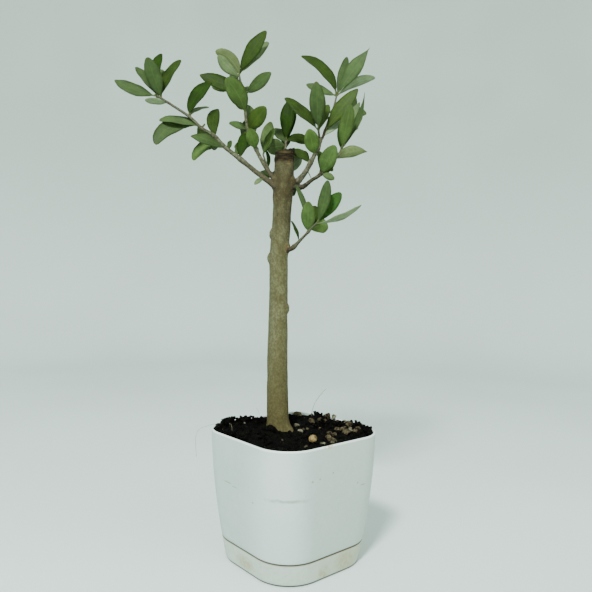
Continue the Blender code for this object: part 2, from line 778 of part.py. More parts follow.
def draw_spurs(name, chance, trees, screens):
    """The spurs of one mass: each is its start, its end and its leaves."""
    shoot, first, last, _ = MASSES[name]
    spurs = []
    for _ in range(SPURS_TRIED):
        place = chance.uniform(first + SPUR_FROM * (last - first), last)
        start = shoot_at(SHOOTS[shoot], place)
        bearing = chance.uniform(0, 360)
        aim = direction_of(bearing, chance.uniform(*SPUR_LEANS))
        end = start + aim * chance.uniform(*SPUR_LENGTH) * MM
        free = fits(name, twig(start.lerp(end, FREE_FROM), end, SPARE_DIAMETERS), trees, screens)
        if free is None:
            continue
        leaves = []
        grown = [free]
        for _ in range(SPUR_LEAVES_TRIED):
            length = chance.uniform(*BACK_LEAF_LENGTH)
            leaf = (place, chance.uniform(0, 360), chance.uniform(*BACK_LEAF_LEANS), length,
                    length * BACK_LEAF_SHAPE, chance.uniform(*BACK_LEAF_TURNS))
            space = blade(end - aim * SPUR_SINK * len(leaves), leaf, FREE_CUTS, SPARE_THICKNESS)
            tree = fits(name, space, trees + grown[1:], screens)
            if tree is not None:
                leaves.append(leaf)
                grown.append(tree)
            if len(leaves) == SPUR_LEAVES_MOST:
                break
        if leaves:
            spurs.append((start, end, leaves))
            trees += grown
        if len(spurs) == SPURS_MOST:
            break
    return spurs


def leaf_root(shoot, leaf):
    """Where the leaf's stalk starts, at the middle of the stem."""
    return shoot_at(SHOOTS[shoot], leaf[0])


def make_mass(name, spurs, collection, material):
    """A mass of foliage: its own stem, with the leaves and the spurs fused on."""
    shoot, start, end, leaves = MASSES[name]
    lead = 0.0 if shoot in ("inner", "back") else GAP
    stem = make_limb(name, shoot, start, end, collection, material, lead=lead)
    if lead == 0.0:
        cut_away(stem, make_trunk("clearance", collection, material, margin=GAP))
    helpers = new_collection(name + "_leaves", hidden=True)
    for leaf in leaves:
        shape = blade(leaf_root(shoot, leaf), leaf, LEAF_CUTS, LEAF_THICKNESS)
        add_mesh("leaf", shape, helpers, material)
    for spur_start, spur_end, back_leaves in spurs:
        add_mesh("spur", twig(spur_start, spur_end, SPUR_DIAMETERS), helpers, material)
        aim = (spur_end - spur_start).normalized()
        for count, leaf in enumerate(back_leaves):
            shape = blade(spur_end - aim * SPUR_SINK * count, leaf, BACK_LEAF_CUTS, LEAF_THICKNESS)
            add_mesh("leaf", shape, helpers, material)
    fuse(stem, helpers)
    return stem


def make_bough(shoot, end, collection, material):
    """A bough from the trunk's bark to where it enters its mass of foliage."""
    bough = make_limb("bough_" + shoot, shoot, 0.0, end, collection, material)
    cut_away(bough, make_trunk("clearance", collection, material, margin=GAP))
    return bough


def main():
    clear_scene()
    plant = new_collection("olive_bonsai")
    white = new_material("white_plastic", (0.66, 0.70, 0.67), 0.42)
    tray_white = new_material("tray_plastic", (0.62, 0.65, 0.58), 0.45)
    earth = new_material("potting_soil", (0.018, 0.014, 0.011), 0.95)
    bark = new_material("olive_bark", (0.19, 0.16, 0.10), 0.85)
    young_bark = new_material("young_bark", (0.27, 0.25, 0.17), 0.8)
    green = new_material("olive_leaf", (0.12, 0.22, 0.07), 0.55)
    make_tray(plant, tray_white)
    make_pot(plant, white)
    make_soil(plant, earth)
    limbs = [make_trunk("trunk", plant, bark)]
    for shoot, end in BOUGHS.items():
        limbs.append(make_bough(shoot, end, plant, young_bark))
    screens = listed_trees(limbs, plant, green)
    trees = list(screens)
    chance = random.Random(SPUR_SEED)
    spurs = {name: draw_spurs(name, chance, trees, screens) for name in MASSES}
    for name in MASSES:
        make_mass(name, spurs[name], plant, green)


main()
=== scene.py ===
"""Looks of a young olive grown as a bonsai, in its square white plastic pot on a water tray: fine
bark, leaves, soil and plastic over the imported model. Metres, +Z up, the front towards -Y."""

import json
import math
import random

import bmesh
import bpy
from mathutils import Matrix, Vector, noise
from mathutils.bvhtree import BVHTree

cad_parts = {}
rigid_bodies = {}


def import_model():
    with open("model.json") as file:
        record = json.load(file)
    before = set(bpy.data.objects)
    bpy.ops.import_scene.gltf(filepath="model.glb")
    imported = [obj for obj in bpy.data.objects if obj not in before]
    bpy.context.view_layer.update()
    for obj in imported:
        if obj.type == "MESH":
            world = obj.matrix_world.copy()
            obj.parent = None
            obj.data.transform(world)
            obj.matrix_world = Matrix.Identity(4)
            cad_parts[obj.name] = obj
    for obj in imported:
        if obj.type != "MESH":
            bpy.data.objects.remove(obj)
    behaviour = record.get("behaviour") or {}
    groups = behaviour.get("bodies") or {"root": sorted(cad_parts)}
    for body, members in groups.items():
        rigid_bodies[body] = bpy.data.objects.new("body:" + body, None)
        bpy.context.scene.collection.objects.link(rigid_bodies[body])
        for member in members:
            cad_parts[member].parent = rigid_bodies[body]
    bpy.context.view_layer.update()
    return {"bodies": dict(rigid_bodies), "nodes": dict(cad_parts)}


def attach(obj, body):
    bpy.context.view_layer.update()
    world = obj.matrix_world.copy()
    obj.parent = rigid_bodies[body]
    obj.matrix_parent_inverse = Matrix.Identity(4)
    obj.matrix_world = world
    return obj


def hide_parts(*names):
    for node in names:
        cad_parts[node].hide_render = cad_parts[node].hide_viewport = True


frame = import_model()

MM = 0.001
GAP = 0.3 * MM

# Pot and water tray, as in the model: a rounded square that narrows towards its foot
POT_HEIGHT = 103.0 * MM
RIM_HALF_SIDE = 55.0 * MM
FOOT_HALF_SIDE = 46.8 * MM
RIM_CORNER = 27.3 * MM
FOOT_CORNER = 30.0 * MM
SIDE_SWELL = 1.8
FINE_INSET = 0.12 * MM
POT_TURN = math.radians(39.9)
POT_WALL = 1.6 * MM
TRAY_HEIGHT = 17.4 * MM
TRAY_WALL = 1.8 * MM
TRAY_GROOVE = 0.6 * MM
TRAY_FIT = 0.4 * MM
CORNER_STEPS = 14
LIP_ROUNDING = 0.75 * MM
LIP_ANGLES = (0, 30, 60, 90)
# Rings of rounded edges: inset and height in millimetres over the foot, floor or ledge
TRAY_FOOT = ((1.4, 0.0), (0.9, 0.08), (0.45, 0.35), (0.15, 0.8), (0.03, 1.3))
TRAY_CORNER = ((0.2, 0.15), (0.7, 0.0))
SUNK_FOOT = ((0.8, 0.0), (0.2, 0.3), (0.0, 1.0))
POT_LEDGE = ((0.35, 0.0), (0.1, 0.12))

# Marks on the pot and stains on the tray: place in millimetres, reach, and the weight of each axis
POT_MARKS = (
    ((14.5, -60, 79.3), 1.1, (1, 0.05, 1)),
    ((20, -55, 79.8), 0.9, (1, 0.05, 1)),
    ((54.5, -20, 66.4), 2.2, (0.7, 0.05, 3.4)),
    ((50, -26, 69), 0.9, (1, 0.05, 1)),
    ((-50, -25, 66.8), 2.8, (0.6, 0.05, 4.0)),
    ((-44, -30, 65.4), 2.2, (0.7, 0.05, 4.0)),
    ((-29, -45, 60), 1.0, (1, 0.05, 1)),
    ((30, -46, 82), 1.0, (1, 0.05, 1)),
)
TRAY_STAINS = (
    ((-36, -34, 8), 11, (1, 0.4, 1.4)),
    ((24, -42, 6), 8, (1.3, 0.4, 1.0)),
    ((41, -24, 9), 13, (1.2, 0.4, 1.2)),
    ((-3, -62, 5), 5, (1.2, 1, 1.2)),
    ((50, 26, 9), 9, (1, 1, 1)),
    ((-34, 40, 8), 10, (1, 1, 1)),
    ((8, 57, 6), 9, (1, 1, 1)),
)
# Rusty dots on the tray: place in millimetres and reach
RUST_DOTS = (((-14, -56, 15.6), 1.2), ((-26, -44, 15.8), 1.0), ((20, -48, 15.4), 0.9))

# Even lumps of the soil's top; the fine ones by how many times smaller and how high they are
SOIL_HEIGHT = 99.5 * MM
SOIL_LUMP = 2.6 * MM
SOIL_LUMP_WIDTH = 11.0 * MM
SOIL_FINE_LUMPS = (2.3, 0.5)

# Heaps of soil: the place of the middle, how far it spreads and how high it stands
SOIL_HEAPS = (
    (-46, 24, 17, 3.2),
    (-28, 44, 14, 3.4),
    (30, 44, 15, 3.6),
    (50, 20, 15, 3.6),
    (-22, -5, 6.5, 6.0),
)
# Where the trunk stands, the soil is level
SOIL_SEAT = Vector((-12.2, 12.0, 99.5)) * MM
SOIL_SEAT_RADIUS = 13.0 * MM
SOIL_SETTLE = 8.0 * MM

# The fine soil: rings of its top and how they crowd towards the rim, clods and crumbs in
# millimetres, and how near the rim they fade out
SOIL_ROWS = 34
SOIL_CROWDING = 0.9
SOIL_HUMMOCK = 1.5
CLOD_WIDTH = 6.5
CRUMB_WIDTH = 2.6
CRUMB_SHARE = 0.55
CRUMB_SHIFT = Vector((3, 7, 1))
SOIL_EDGE_FADE = 3 * MM

# A grain of soil: how rough it is, how near its middle its sides are broken off, and how it is
# squashed and tipped
GRAIN_KNOCKS = 1.1
BREAK_REACH = (0.5, 0.85)
GRAIN_SQUASH = (0.75, 1.2)
GRAIN_TIP = (-0.5, 0.5)
# Loose crumbs: sizes in millimetres, heights as shares of their width, how far out they lie, and
# how far they stand out of the soil as a share of their size
CRUMB_SEED = 11
CRUMBS = 700
CRUMB_SIZES = (0.5, 1.7)
CRUMB_HEIGHTS = (0.6, 1.0)
CRUMB_SPREAD = (0.02, 0.97)
CRUMB_OUT = 0.2
# Clods piled against the pot's wall: how near it they are, how far below the top their middles
# are, how deep a pile is and how far it falls inwards. A row has from and to which direction in
# degrees, how many, and from and to how far in millimetres their tops are above the rim
PILE_SIZES = (0.9, 2.2)
PILE_HEIGHTS = (0.7, 1.3)
PILE_NEAR = 0.7
PILE_DOWN = 0.8
PILE_DEPTH = 5 * MM
PILE_FALL = 2.5 * MM
RIM_PILES = (
    (100, 168, 230, 1.5, 4.6),
    (168, 206, 50, -0.4, 2.2),
    (-16, 74, 150, 0.0, 3.4),
    (74, 100, 14, -3.5, -1.5),
    (206, 222, 12, -2.5, 0.0),
    (-30, -16, 12, -2.5, 0.0),
)
# Mounds of clods: a row has the place of the top, the spread and the number
MOUND_SIZES = (1.0, 2.4)
MOUND_HEIGHTS = (0.7, 1.1)
MOUND_FALL = 1.3 * MM
MOUNDS = (
    (-19, -1, 106.5, 2.6, 34),
    (-15.5, -2, 104.5, 2.0, 18),
    (-24, 5, 105.5, 2.5, 20),
)
# Bits that lie on the soil: place from above and size in millimetres, kind, and how flat it is
SOIL_BITS = (
    (15.3, -26.7, 3.3, "stone", 0.95), (9.7, -43.2, 1.56, "pumice", 1.0),
    (16.7, 36, 3.36, "chip", 0.8), (23.5, 36, 2.88, "chip", 0.8), (20, 30, 2.64, "chip", 0.7),
    (30, 40, 4.08, "chip", 1.0), (27, 33, 3.12, "chip", 0.9), (36, 38.7, 2.64, "pumice", 0.9),
    (40.9, 6.3, 3.84, "chip", 0.8), (46.9, 14.4, 4.08, "chip", 0.8), (42.8, -4.6, 3.6, "chip", 0.8),
    (51, 3.1, 3.36, "chip", 0.8), (47, 8, 3.12, "pumice", 0.8), (36, 2, 2.88, "chip", 0.8),
    (54, 8, 2.4, "chip", 0.8), (29.4, -5.2, 3.12, "chip", 0.9), (33, -9, 2.64, "chip", 0.8),
    (28.4, -20, 3.12, "chip", 0.9), (31, -25, 2.64, "chip", 0.9), (27.5, -15, 2.4, "chip", 0.8),
    (30.2, -30, 2.88, "pumice", 0.9), (23.8, -34.4, 2.28, "pumice", 0.9),
    (21.5, -32, 1.56, "pumice", 0.9),
    (2.7, 18.6, 2.28, "pumice", 0.9), (5.9, 3.1, 2.64, "pumice", 0.7), (8.8, 8.9, 2.16, "chip", 0.7),
    (4.4, 60, 3.84, "chip", 0.7), (-32.8, 33.5, 1.32, "chip", 0.8), (-60, 12, 2.4, "pumice", 0.7),
    (-58, 5, 1.44, "chip", 0.8), (12, 14, 1.56, "chip", 0.8), (-20, 45, 1.68, "chip", 0.8),
    (-41, 20, 1.44, "pumice", 0.8), (14, -8, 1.2, "chip", 0.8), (38, 24, 2.88, "chip", 0.8),
    (44, 22, 2.4, "pumice", 0.8), (-8, -30, 1.08, "chip", 0.8), (22, 12, 1.56, "chip", 0.8),
)
BIT_OUT = 0.35
# How many sides of a bit are broken off, and how far it is knocked out of round
STONE_SHAPE = (0, 0.2)
BIT_SHAPE = (9, 0.7)

# Fine dry roots: places in millimetres that they pass through, points drawn and radius
ROOT_HAIRS = (
    (((16, 54, 99), (17.5, 54.5, 108), (20.5, 55, 115), (25, 55.5, 121), (29.5, 56, 126)), 20, 0.17),
    (((-60, 4, 100), (-63.5, 2, 105.5), (-69, 1, 104.6), (-76.5, 0, 101.6), (-79, -1, 94), (-78, -2, 80)),
     30, 0.11),
    (((-52, 14, 99), (-53, 12, 104), (-51, 9, 103), (-50, 5, 99.5)), 16, 0.15),
    (((-30, 48, 99), (-31, 49, 106), (-33, 50, 109)), 12, 0.1),
)
HAIR_SIDES = 6

# Trunk, in millimetres: height, sideways and backwards place of its middle, and diameter
TRUNK_SECTIONS = (
    (96, -12.2, 12, 22),
    (100, -12.2, 12, 20.8),
    (104, -12.5, 12, 19.2),
    (112, -12.9, 12, 18.4),
    (130, -13.4, 12, 17.8),
    (158, -13.7, 12, 17.2),
    (189, -13.6, 12.4, 16.1),
    (219, -13.4, 12.6, 15.3),
    (242, -13.7, 12.4, 15.7),
    (265, -12, 12.2, 15.6),
    (285, -11, 12, 15.6),
    (298, -10.6, 12, 17),
    (306, -10.3, 12, 17.6),
    (316, -9.9, 12, 16.4),
    (340, -9.2, 12, 16),
)
TRUNK_SIDES = 80
TRUNK_STEP = 1.0 * MM
TRUNK_CUT_MIDDLE = Vector((-9.4, 12, 331)) * MM
TRUNK_CUT_NORMAL = Vector((-0.2, -0.16, 1.0))

# The saw cut: rings of its end grain, and how uneven the grain and its rim are: the widths of
# the unevenness in millimetres, and its rise
CUT_RINGS = 6
CUT_GRAIN = 1.5
CUT_ROUGHNESS = 0.25 * MM
RIM_GRAIN = 2.2
RIM_FINE_GRAIN = 0.9
RIM_FINE_SHARE = 0.6
RIM_ROUGHNESS = 0.75 * MM

# Bark relief: width in millimetres, how much height counts in it, rise and shift
BARK_LAYERS = (
    (7, 0.45, 0.30, Vector()),
    (1.9, 0.22, 0.20, Vector()),
    (1.0, 0.6, 0.12, Vector((9, 2, 5))),
)
BARK_SINK = 0.12

# Bark knobs: height, direction round the trunk in degrees from the right, and size
KNOBS = (
    (262, 182, 3.2),
    (242, 172, 3.4),
    (250, -25, 3.6),
    (200, 0, 3.0),
    (226, 80, 3.2),
    (163, 110, 3.0),
    (303, -8, 4.6),
    (304, 196, 4.4),
)
KNOB_TALLNESS = 0.85
KNOB_REACH = 1.3
KNOB_RISE = 0.55
KNOB_CREASE = 0.35
KNOB_CREASE_REACH = 0.3
# Marks on the bark: place in millimetres, reach and tone
BARK_MARKS = (
    ((-6.0, 4.6, 319.6), 1.7, (84, 62, 36)),
    ((-6.6, 4.8, 249.5), 3.6, (84, 64, 41)),
    ((-5.4, 6.5, 251), 1.6, (126, 102, 69)),
    ((-15, 4.3, 277), 2.6, (49, 47, 32)),
    ((-19, 6, 240), 2.5, (66, 52, 30)),
    ((-19, 8, 302), 4.5, (69, 51, 35)),
    ((-3, 8, 299), 4.0, (47, 37, 27)),
)

# Toes of the roots: direction and reach
ROOT_FLARES = ((-20, 4.2), (150, 2.2), (75, 2.6))
FLARE_FOOT = 98
FLARE_HEIGHT = 12
FLARE_SHARPNESS = 6

# Shoots: middle lines and end diameters in millimetres
SHOOTS = {
    "left": (
        (-12, 10, 297), (-19, 8, 302), (-32, 5, 311), (-44, 2, 320), (-55, -1, 328),
        (-66, -4, 338), (-76, -6, 344), (-85, -8, 352), (-104, -14, 363), (-109, -16, 365.4),
    ),
    "middle": (
        (-11, 12, 300), (-18, 11, 307), (-26, 11, 318), (-33, 12, 331), (-40, 15, 347),
        (-43, 19, 364), (-43, 21, 380), (-47, 22, 389), (-49, 24, 397),
    ),
    "inner": ((-12, 13, 302), (-19, 17, 309), (-24, 21, 319), (-28, 22, 329)),
    "back": ((-10, 13, 308), (-10, 22, 314), (-10, 34, 327), (-9, 44, 346)),
    "right": (
        (-9, 12, 299), (-2, 13, 304), (2, 13, 306), (7, 12, 312), (11, 11, 319),
        (15, 10, 327), (18, 9, 332), (20, 9, 340),
    ),
    "right_inner": ((19.0, 8.1, 340.2), (17.6, 5, 346)),
    "right_top": ((20.9, 9.7, 339.9), (26, 14, 355), (31, 18, 369), (33, 20, 379)),
    "right_front": (
        (-9, 11, 299), (0, 8, 300), (6, 5, 300), (12, 0, 304), (19, -5, 308),
        (27, -9, 317), (33, -11, 322), (36, -13, 328),
    ),
    "low": (
        (-12, 11, 245), (-4, 6, 249), (0, 3, 252), (5, -1, 257), (10, -5, 262),
        (13, -8, 266), (17, -11, 269),
    ),
}
SHOOT_DIAMETERS = {
    "left": (4.8, 1.5),
    "middle": (4.0, 1.4),
    "inner": (2.6, 1.4),
    "back": (3.2, 1.6),
    "right": (5.6, 2.4),
    "right_inner": (2.0, 1.6),
    "right_top": (2.2, 1.4),
    "right_front": (4.0, 1.8),
    "low": (3.0, 1.6),
}
# Shoots whose bare lower ends are the model's boughs
BOUGHS = ("left", "middle", "right", "right_front", "low")
# The model's limbs: tries for each listed place, and the least distance between two rings
PLAIN_TRIES = 12
LIMB_STEP = 3.0 * MM
MERGED_BELOW = 0.01 * MM

# Swellings of a shoot: place along it, how many times as thick, and how long
SWELLINGS = {
    "left": ((0.9, 1.25, 0.5), (3.0, 1.2, 0.25), (5.0, 1.25, 0.2)),
    "middle": ((0.9, 1.25, 0.5), (3.1, 1.3, 0.2)),
    "right": ((1.5, 1.4, 0.7), (4.2, 1.2, 0.3), (5.9, 1.25, 0.35), (6.9, 1.5, 0.35)),
    "right_front": ((1.6, 1.3, 0.8), (4.1, 1.25, 0.3)),
    "low": ((1.6, 1.6, 0.7), (4.1, 1.3, 0.25)),
}
KNOT_SWELLING = 0.12
KNOT_LENGTH = 0.07

# Barks: piece, its shoots, and the sRGB tones of the bark, its patches, its pale flakes, its dark
# scars, which also serve as painted shade on the underside, its foot and its tip
SHOOT_LOOKS = (
    ("shoot_bark", ("left", "middle", "inner", "back"),
     ((77, 78, 57), (60, 58, 44), (102, 101, 81), (35, 30, 22), (69, 60, 46), (82, 77, 66))),
    ("right_shoot_bark", ("right", "right_top", "right_inner", "low"),
     ((85, 82, 65), (63, 59, 43), (102, 100, 83), (27, 21, 16), (47, 36, 28), (86, 86, 67))),
    ("dark_shoot_bark", ("right_front",),
     ((66, 64, 46), (46, 42, 30), (101, 95, 81), (26, 22, 17), (46, 39, 32), (88, 90, 63))),
)
LIMB_SIDES = 14
LIMB_FINE_STEP = 0.55 * MM
LIMB_MARKS = 40
LIMB_WANDER = 0.2 * MM
LIMB_WANDER_WIDTH = 6
LIMB_ROUGHNESS = 0.11
LIMB_GRAIN = 1.3
LIMB_FINE_GRAIN = 0.6

# Masses of foliage: shoot, where its stem starts and ends, and its leaves: tone, place along
# the shoot, bearing, lean, length, width and turn, and where it has them its curl, its sweep
# and the taper of its tip
MASSES = {
    "foliage_left": ("left", 3.0, 7.5, (
        ("soft", 4.05, 165, 20, 31, 10.5, 30, 22, 10, 0.75),
        ("light", 4.1, 198, -12, 36, 12.5, 30, 30, 115),
        ("soft", 4.0, 62, 30, 8.5, 5, 30),
        ("deep", 4.8, 92, -33, 36, 10.5, 10, 22, -50, 0.7),
        ("grey", 6.0, 172, 5, 34, 11.5, 45, 35, 15),
        ("soft", 6.05, 207, 15, 45, 14.5, 20, 10, 110),
        ("dark", 7.0, 62, -15, 37, 12.5, 20, 20, -45),
        ("pale", 7.0, 37, -32, 22.5, 5.5, 40, 22, -60),
        ("dark", 3.12, 82, -22, 27, 9.5, 15),
    )),
    "foliage_left_tip": ("left", 7.5, 9.0, (
        ("soft", 9.0, 161, 5, 34.5, 11, 25, 5, -30, 0.75),
        ("soft", 8.6, 127, -18, 35.5, 9.5, 40),
        ("soft", 8.1, 108, 20, 32, 12, 5),
        ("dark", 8.8, 90, -20, 42, 11, 15, 22, -38),
        ("deep", 8.2, 64, -5, 35.5, 11, 30, 22, -35),
        ("ash", 7.8, 178, 15, 18, 6.5, 125, 22, -28),
    )),
    "foliage_middle_low": ("middle", 3.0, 5.5, (
        ("fresh", 3.05, 109, 50, 21, 10.5, 0),
        ("olive", 4.0, 46, 35, 27, 13.5, 0),
        ("grey", 4.05, 168, 30, 18, 8.5, 40),
        ("mid", 4.9, 122, 25, 33, 16, 5, 22, 30),
    )),
    "foliage_middle_top": ("middle", 5.5, 8.0, (
        ("deep", 6.0, 157, -8, 44, 13.7, 15, 5, 0, 0.75),
        ("soft", 5.95, 33, 25, 29, 11.5, 10, 22, 15, 0.65),
        ("deep", 8.0, 56, 8, 42, 13.3, 15, 22, 0, 0.65),
        ("pale", 7.9, 52, -12, 40.5, 12, 20),
        ("straw", 7.6, 137, 12, 30, 11, 160, 15, 70),
        ("pale", 7.5, 143, 33, 26, 11, 200),
    )),
    "foliage_inner": ("inner", 0.0, 3.0, (
        ("mid", 3.0, 79, -20, 34, 12.5, 150, 22, 12),
        ("mid", 2.95, 65, 15, 24.5, 8, 35),
        ("dark", 1.9, 97, -35, 22, 6.5, 60),
        ("light", 0.9, 145, -45, 22, 9, 30),
    )),
    "foliage_back": ("back", 0.0, 3.0, (
        ("dark", 3.0, 87, -5, 37, 12.8, 15),
        ("dark", 2.9, 79, -22, 36, 11, 20),
        ("deep", 2.95, 0, -20, 24, 10.5, 20, 22, -70),
        ("soft", 2.8, 123, -30, 23, 10.5, 25),
        ("mid", 2.7, 193, 15, 18, 14.5, 150),
        ("ash", 1.1, 42, -5, 20, 10, 190),
    )),
    "foliage_right_low": ("right", 4.0, 7.0, (
        ("fresh", 5.0, 108, 45, 25, 12.5, 0),
        ("deep", 4.15, 134, -36, 26, 11, 30),
    )),
    "foliage_right_inner": ("right_inner", 0.0, 1.0, (
        ("soft", 1.0, 94, 15, 38, 13.3, 5, 22, 0, 0.65),
        ("deep", 0.9, 133, -15, 42.5, 12.5, 35),
        ("olive", 0.8, 72, -25, 30, 9, 20),
    )),
    "foliage_right_top": ("right_top", 0.0, 3.0, (
        ("olive", 0.5, 52, 5, 44, 12.6, 15, 22, 0, 0.7),
        ("grey", 2.9, 158, -5, 28, 9, 25, 22, -25),
        ("ash", 2.8, 28, -8, 39, 10, 120, 15, -40),
        ("grey", 3.0, 54, 10, 47, 12.5, 8, 22, 0, 1.8),
        ("soft", 2.95, 76, -15, 39, 8.2, 25, 22, 15),
        ("deep", 3.0, 131, -8, 49, 11.5, 25, 22, 60, 0.7),
        ("ash", 0.15, 46, -20, 33, 8.5, 20),
    )),
    "foliage_right_front": ("right_front", 4.0, 7.0, (
        ("light", 4.1, 62, 40, 28, 13, 0),
        ("light", 4.1, 334, 30, 14, 5.8, 150),
        ("mid", 6.7, 80, 15, 35, 11.3, 0),
        ("grey", 7.0, 69, -5, 49, 12.5, 70, -40, 0, 1.8),
        ("pale", 6.95, 70, -18, 45, 11, 160, 22, 0, 0.8),
        ("straw", 5.3, 12, 10, 29, 9.5, 150, 15, -50, 1.2),
        ("dark", 6.5, 84, -8, 28, 9, 5),
    )),
    "foliage_low": ("low", 2.5, 6.0, (
        ("light", 4.0, 91, 30, 27, 11.3, 0),
        ("soft", 6.0, 77, 10, 35, 9.5, 10, 22, 20),
        ("rich", 5.95, 53, -12, 33, 11.5, 10),
        ("ash", 5.9, 22, 15, 39, 9, 115, -35, 12, 0.9),
        ("fresh", 4.4, 30, -45, 24, 14.5, 0),
        ("deep", 5.5, 90, -45, 25, 8.5, 0),
        ("grey", 4.2, 106, -5, 40, 9, 60),
        ("deep", 2.65, 111, -10, 19, 5, 60),
    )),
}

# Spurs behind the stems, by the same seeded rule as in the model
SPUR_SEED = 5
SPURS_TRIED = 150
SPURS_MOST = 3
SPUR_FROM = 0.3
SPUR_LENGTH = (6.0, 13.0)
SPUR_DIAMETERS = (1.5, 1.1)
SPUR_SINK = 0.7 * MM
SPUR_LEANS = (-85, -35)
SPUR_LEAVES_TRIED = 60
SPUR_LEAVES_MOST = 3
BACK_LEAF_LEANS = (-80, -10)
BACK_LEAF_LENGTH = (21, 32)
BACK_LEAF_SHAPE = 0.37
BACK_LEAF_TURNS = (-30, 30)
BACK_LEAF_TONES = ("mid", "deep", "olive", "grey", "soft", "deep", "light")
FREE_FROM = 0.25
FREE_CUTS = (0.25, 0.5, 0.75, 1.0)
SPARE_THICKNESS = 1.6 * MM
SPARE_DIAMETERS = (3.5, 3.5)
SCREENED_SHARE = 0.8
FRONT_EYE = Vector((0.0, -481.0, 222.0)) * MM

# Fine twigs and leaf buds: a twig's knot is its place, its length and how far it swells
TWIG_STEPS = 9
TWIG_SIDES = 8
TWIG_KNOT = (0.55, 0.08, 0.25)
TWIG_CROOK = 0.5 * MM
TWIG_ROUGHNESS = 0.1
BUD_SIZE = 0.55 * MM
BUD_SIZES = (0.7, 1.2)
BUD_TAPER = 0.35
BUD_STRETCH = 1.7
BUD_OUT = 0.3 * MM
BUD_UP = Vector((0, 0, 0.5 * MM))
SPUR_BUD_OUT = 0.5 * MM

# Leaf blade; names with FINE are those of this script's leaves, the others the model's
LEAF_CUTS = (0.0, 0.08, 0.16, 0.31, 0.53, 0.78, 0.94, 1.0)
FINE_CUTS = (0.0, 0.07, 0.1, 0.15, 0.22, 0.31, 0.42, 0.54, 0.66, 0.77, 0.86, 0.93, 0.975, 1.0)
FINE_ROWS = 4
LEAF_PIECES = 24
FINE_PIECES = 96
LEAF_THICKNESS = 0.55 * MM
FINE_THICKNESS = 0.42 * MM
FINE_TRIM = 0.16
LEAF_SUNK = 0.3 * MM
LEAF_STALK_SHARE = 0.08
LEAF_STALK_WIDTH = 1.3 * MM
LEAF_WIDEST = 1.05
LEAF_BASE_TAPER = 0.75
LEAF_TIP_TAPER = 0.55
LEAF_FOLD = 0.12
LEAF_CURL = 22.0
MARGIN_WAVE = 0.05
MARGIN_WAVES = (1.2, 2.4)
MARGIN_SHIFT = 0.35
VEIN_COUNT = 60.0
VEIN_SLANT = -42.0

# Young leaves on the bare wood: shoot and leaf row, as above
YOUNG_LEAVES = (
    ("left", ("pale", 1.6, 222, 25, 11, 4.2, 20)),
)
# Broken twigs: foot and tip in millimetres, and the diameters there
BROKEN_TWIGS = (
    ((-75, -5.5, 344.2), (-72.8, -5.5, 347), (1.7, 1.3)),
    ((9.4, 10.6, 313.6), (12.3, 10, 308), (0.9, 0.6)),
)

# Leaf tones as sRGB values, darker than they look by daylight. Besides the leaves' own differences,
# they hold painted light and shade: leaves in shade were dealt paler tones, strongly lit ones darker.
LEAF_TONES = {
    "mid": (56, 74, 31),
    "soft": (49, 65, 31),
    "deep": (38, 54, 14),
    "dark": (29, 48, 8),
    "olive": (49, 66, 18),
    "rich": (37, 67, 16),
    "grey": (60, 77, 41),
    "light": (66, 86, 41),
    "fresh": (76, 98, 44),
    "pale": (86, 101, 64),
    "straw": (84, 91, 49),
    "ash": (122, 138, 104),
}
UNDERSIDE_TONE = (94, 108, 74)
UNDERSIDE_SHARE = 0.5
LEAF_GLOSS = {"dark": 0.04, "deep": 0.07}
COMMON_GLOSS = 0.1
UNDERSIDE_GLOSS = 0.05

# Camera: turn, downward tilt and roll in degrees, and its lens in millimetres
CAMERA_PAN = math.radians(0.13)
CAMERA_PITCH = math.radians(1.31)
CAMERA_ROLL = math.radians(0.67)
CAMERA_SENSOR = 36.0
CAMERA_LENS = 36.18

# Stage in metres: the floor's rings, the curve up into the wall, and the wall's top
FLOOR_RINGS = (0.25, 0.7, 1.15)
BACKDROP_REACH = 1.6
BACKDROP_CURVE = 0.63
BACKDROP_HEIGHT = 2.4
BACKDROP_STEPS = 8
BACKDROP_SIDES = 72

# Daylight, and lights: name, place, size and power
DAYLIGHT = (0.82, 0.94, 0.9, 1.0)
DAYLIGHT_STRENGTH = 0.96
LIGHT_COLOUR = (0.93, 1.0, 0.985)
LIGHT_AIM = Vector((0.0, 0.0, 0.2))
LIGHTS = (
    ("soft_key", (-0.36, -1.15, 1.35), 0.28, 50.0),
    ("soft_fill", (0.9, -0.7, 0.8), 1.0, 5.0),
)


def clear_startup():
    """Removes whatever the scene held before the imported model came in."""
    kept = set(frame["nodes"].values()) | set(frame["bodies"].values())
    for obj in list(bpy.data.objects):
        if obj not in kept:
            bpy.data.objects.remove(obj, do_unlink=True)


def tone(red, green, blue):
    """A colour given in sRGB from 0 to 255, as the shader's linear values."""
    linear = []
    for value in (red, green, blue):
        share = value / 255
        linear.append(share / 12.92 if share <= 0.04045 else ((share + 0.055) / 1.055) ** 2.4)
    return tuple(linear)


def shaded(colour, factor):
    return tuple(value * factor for value in colour)


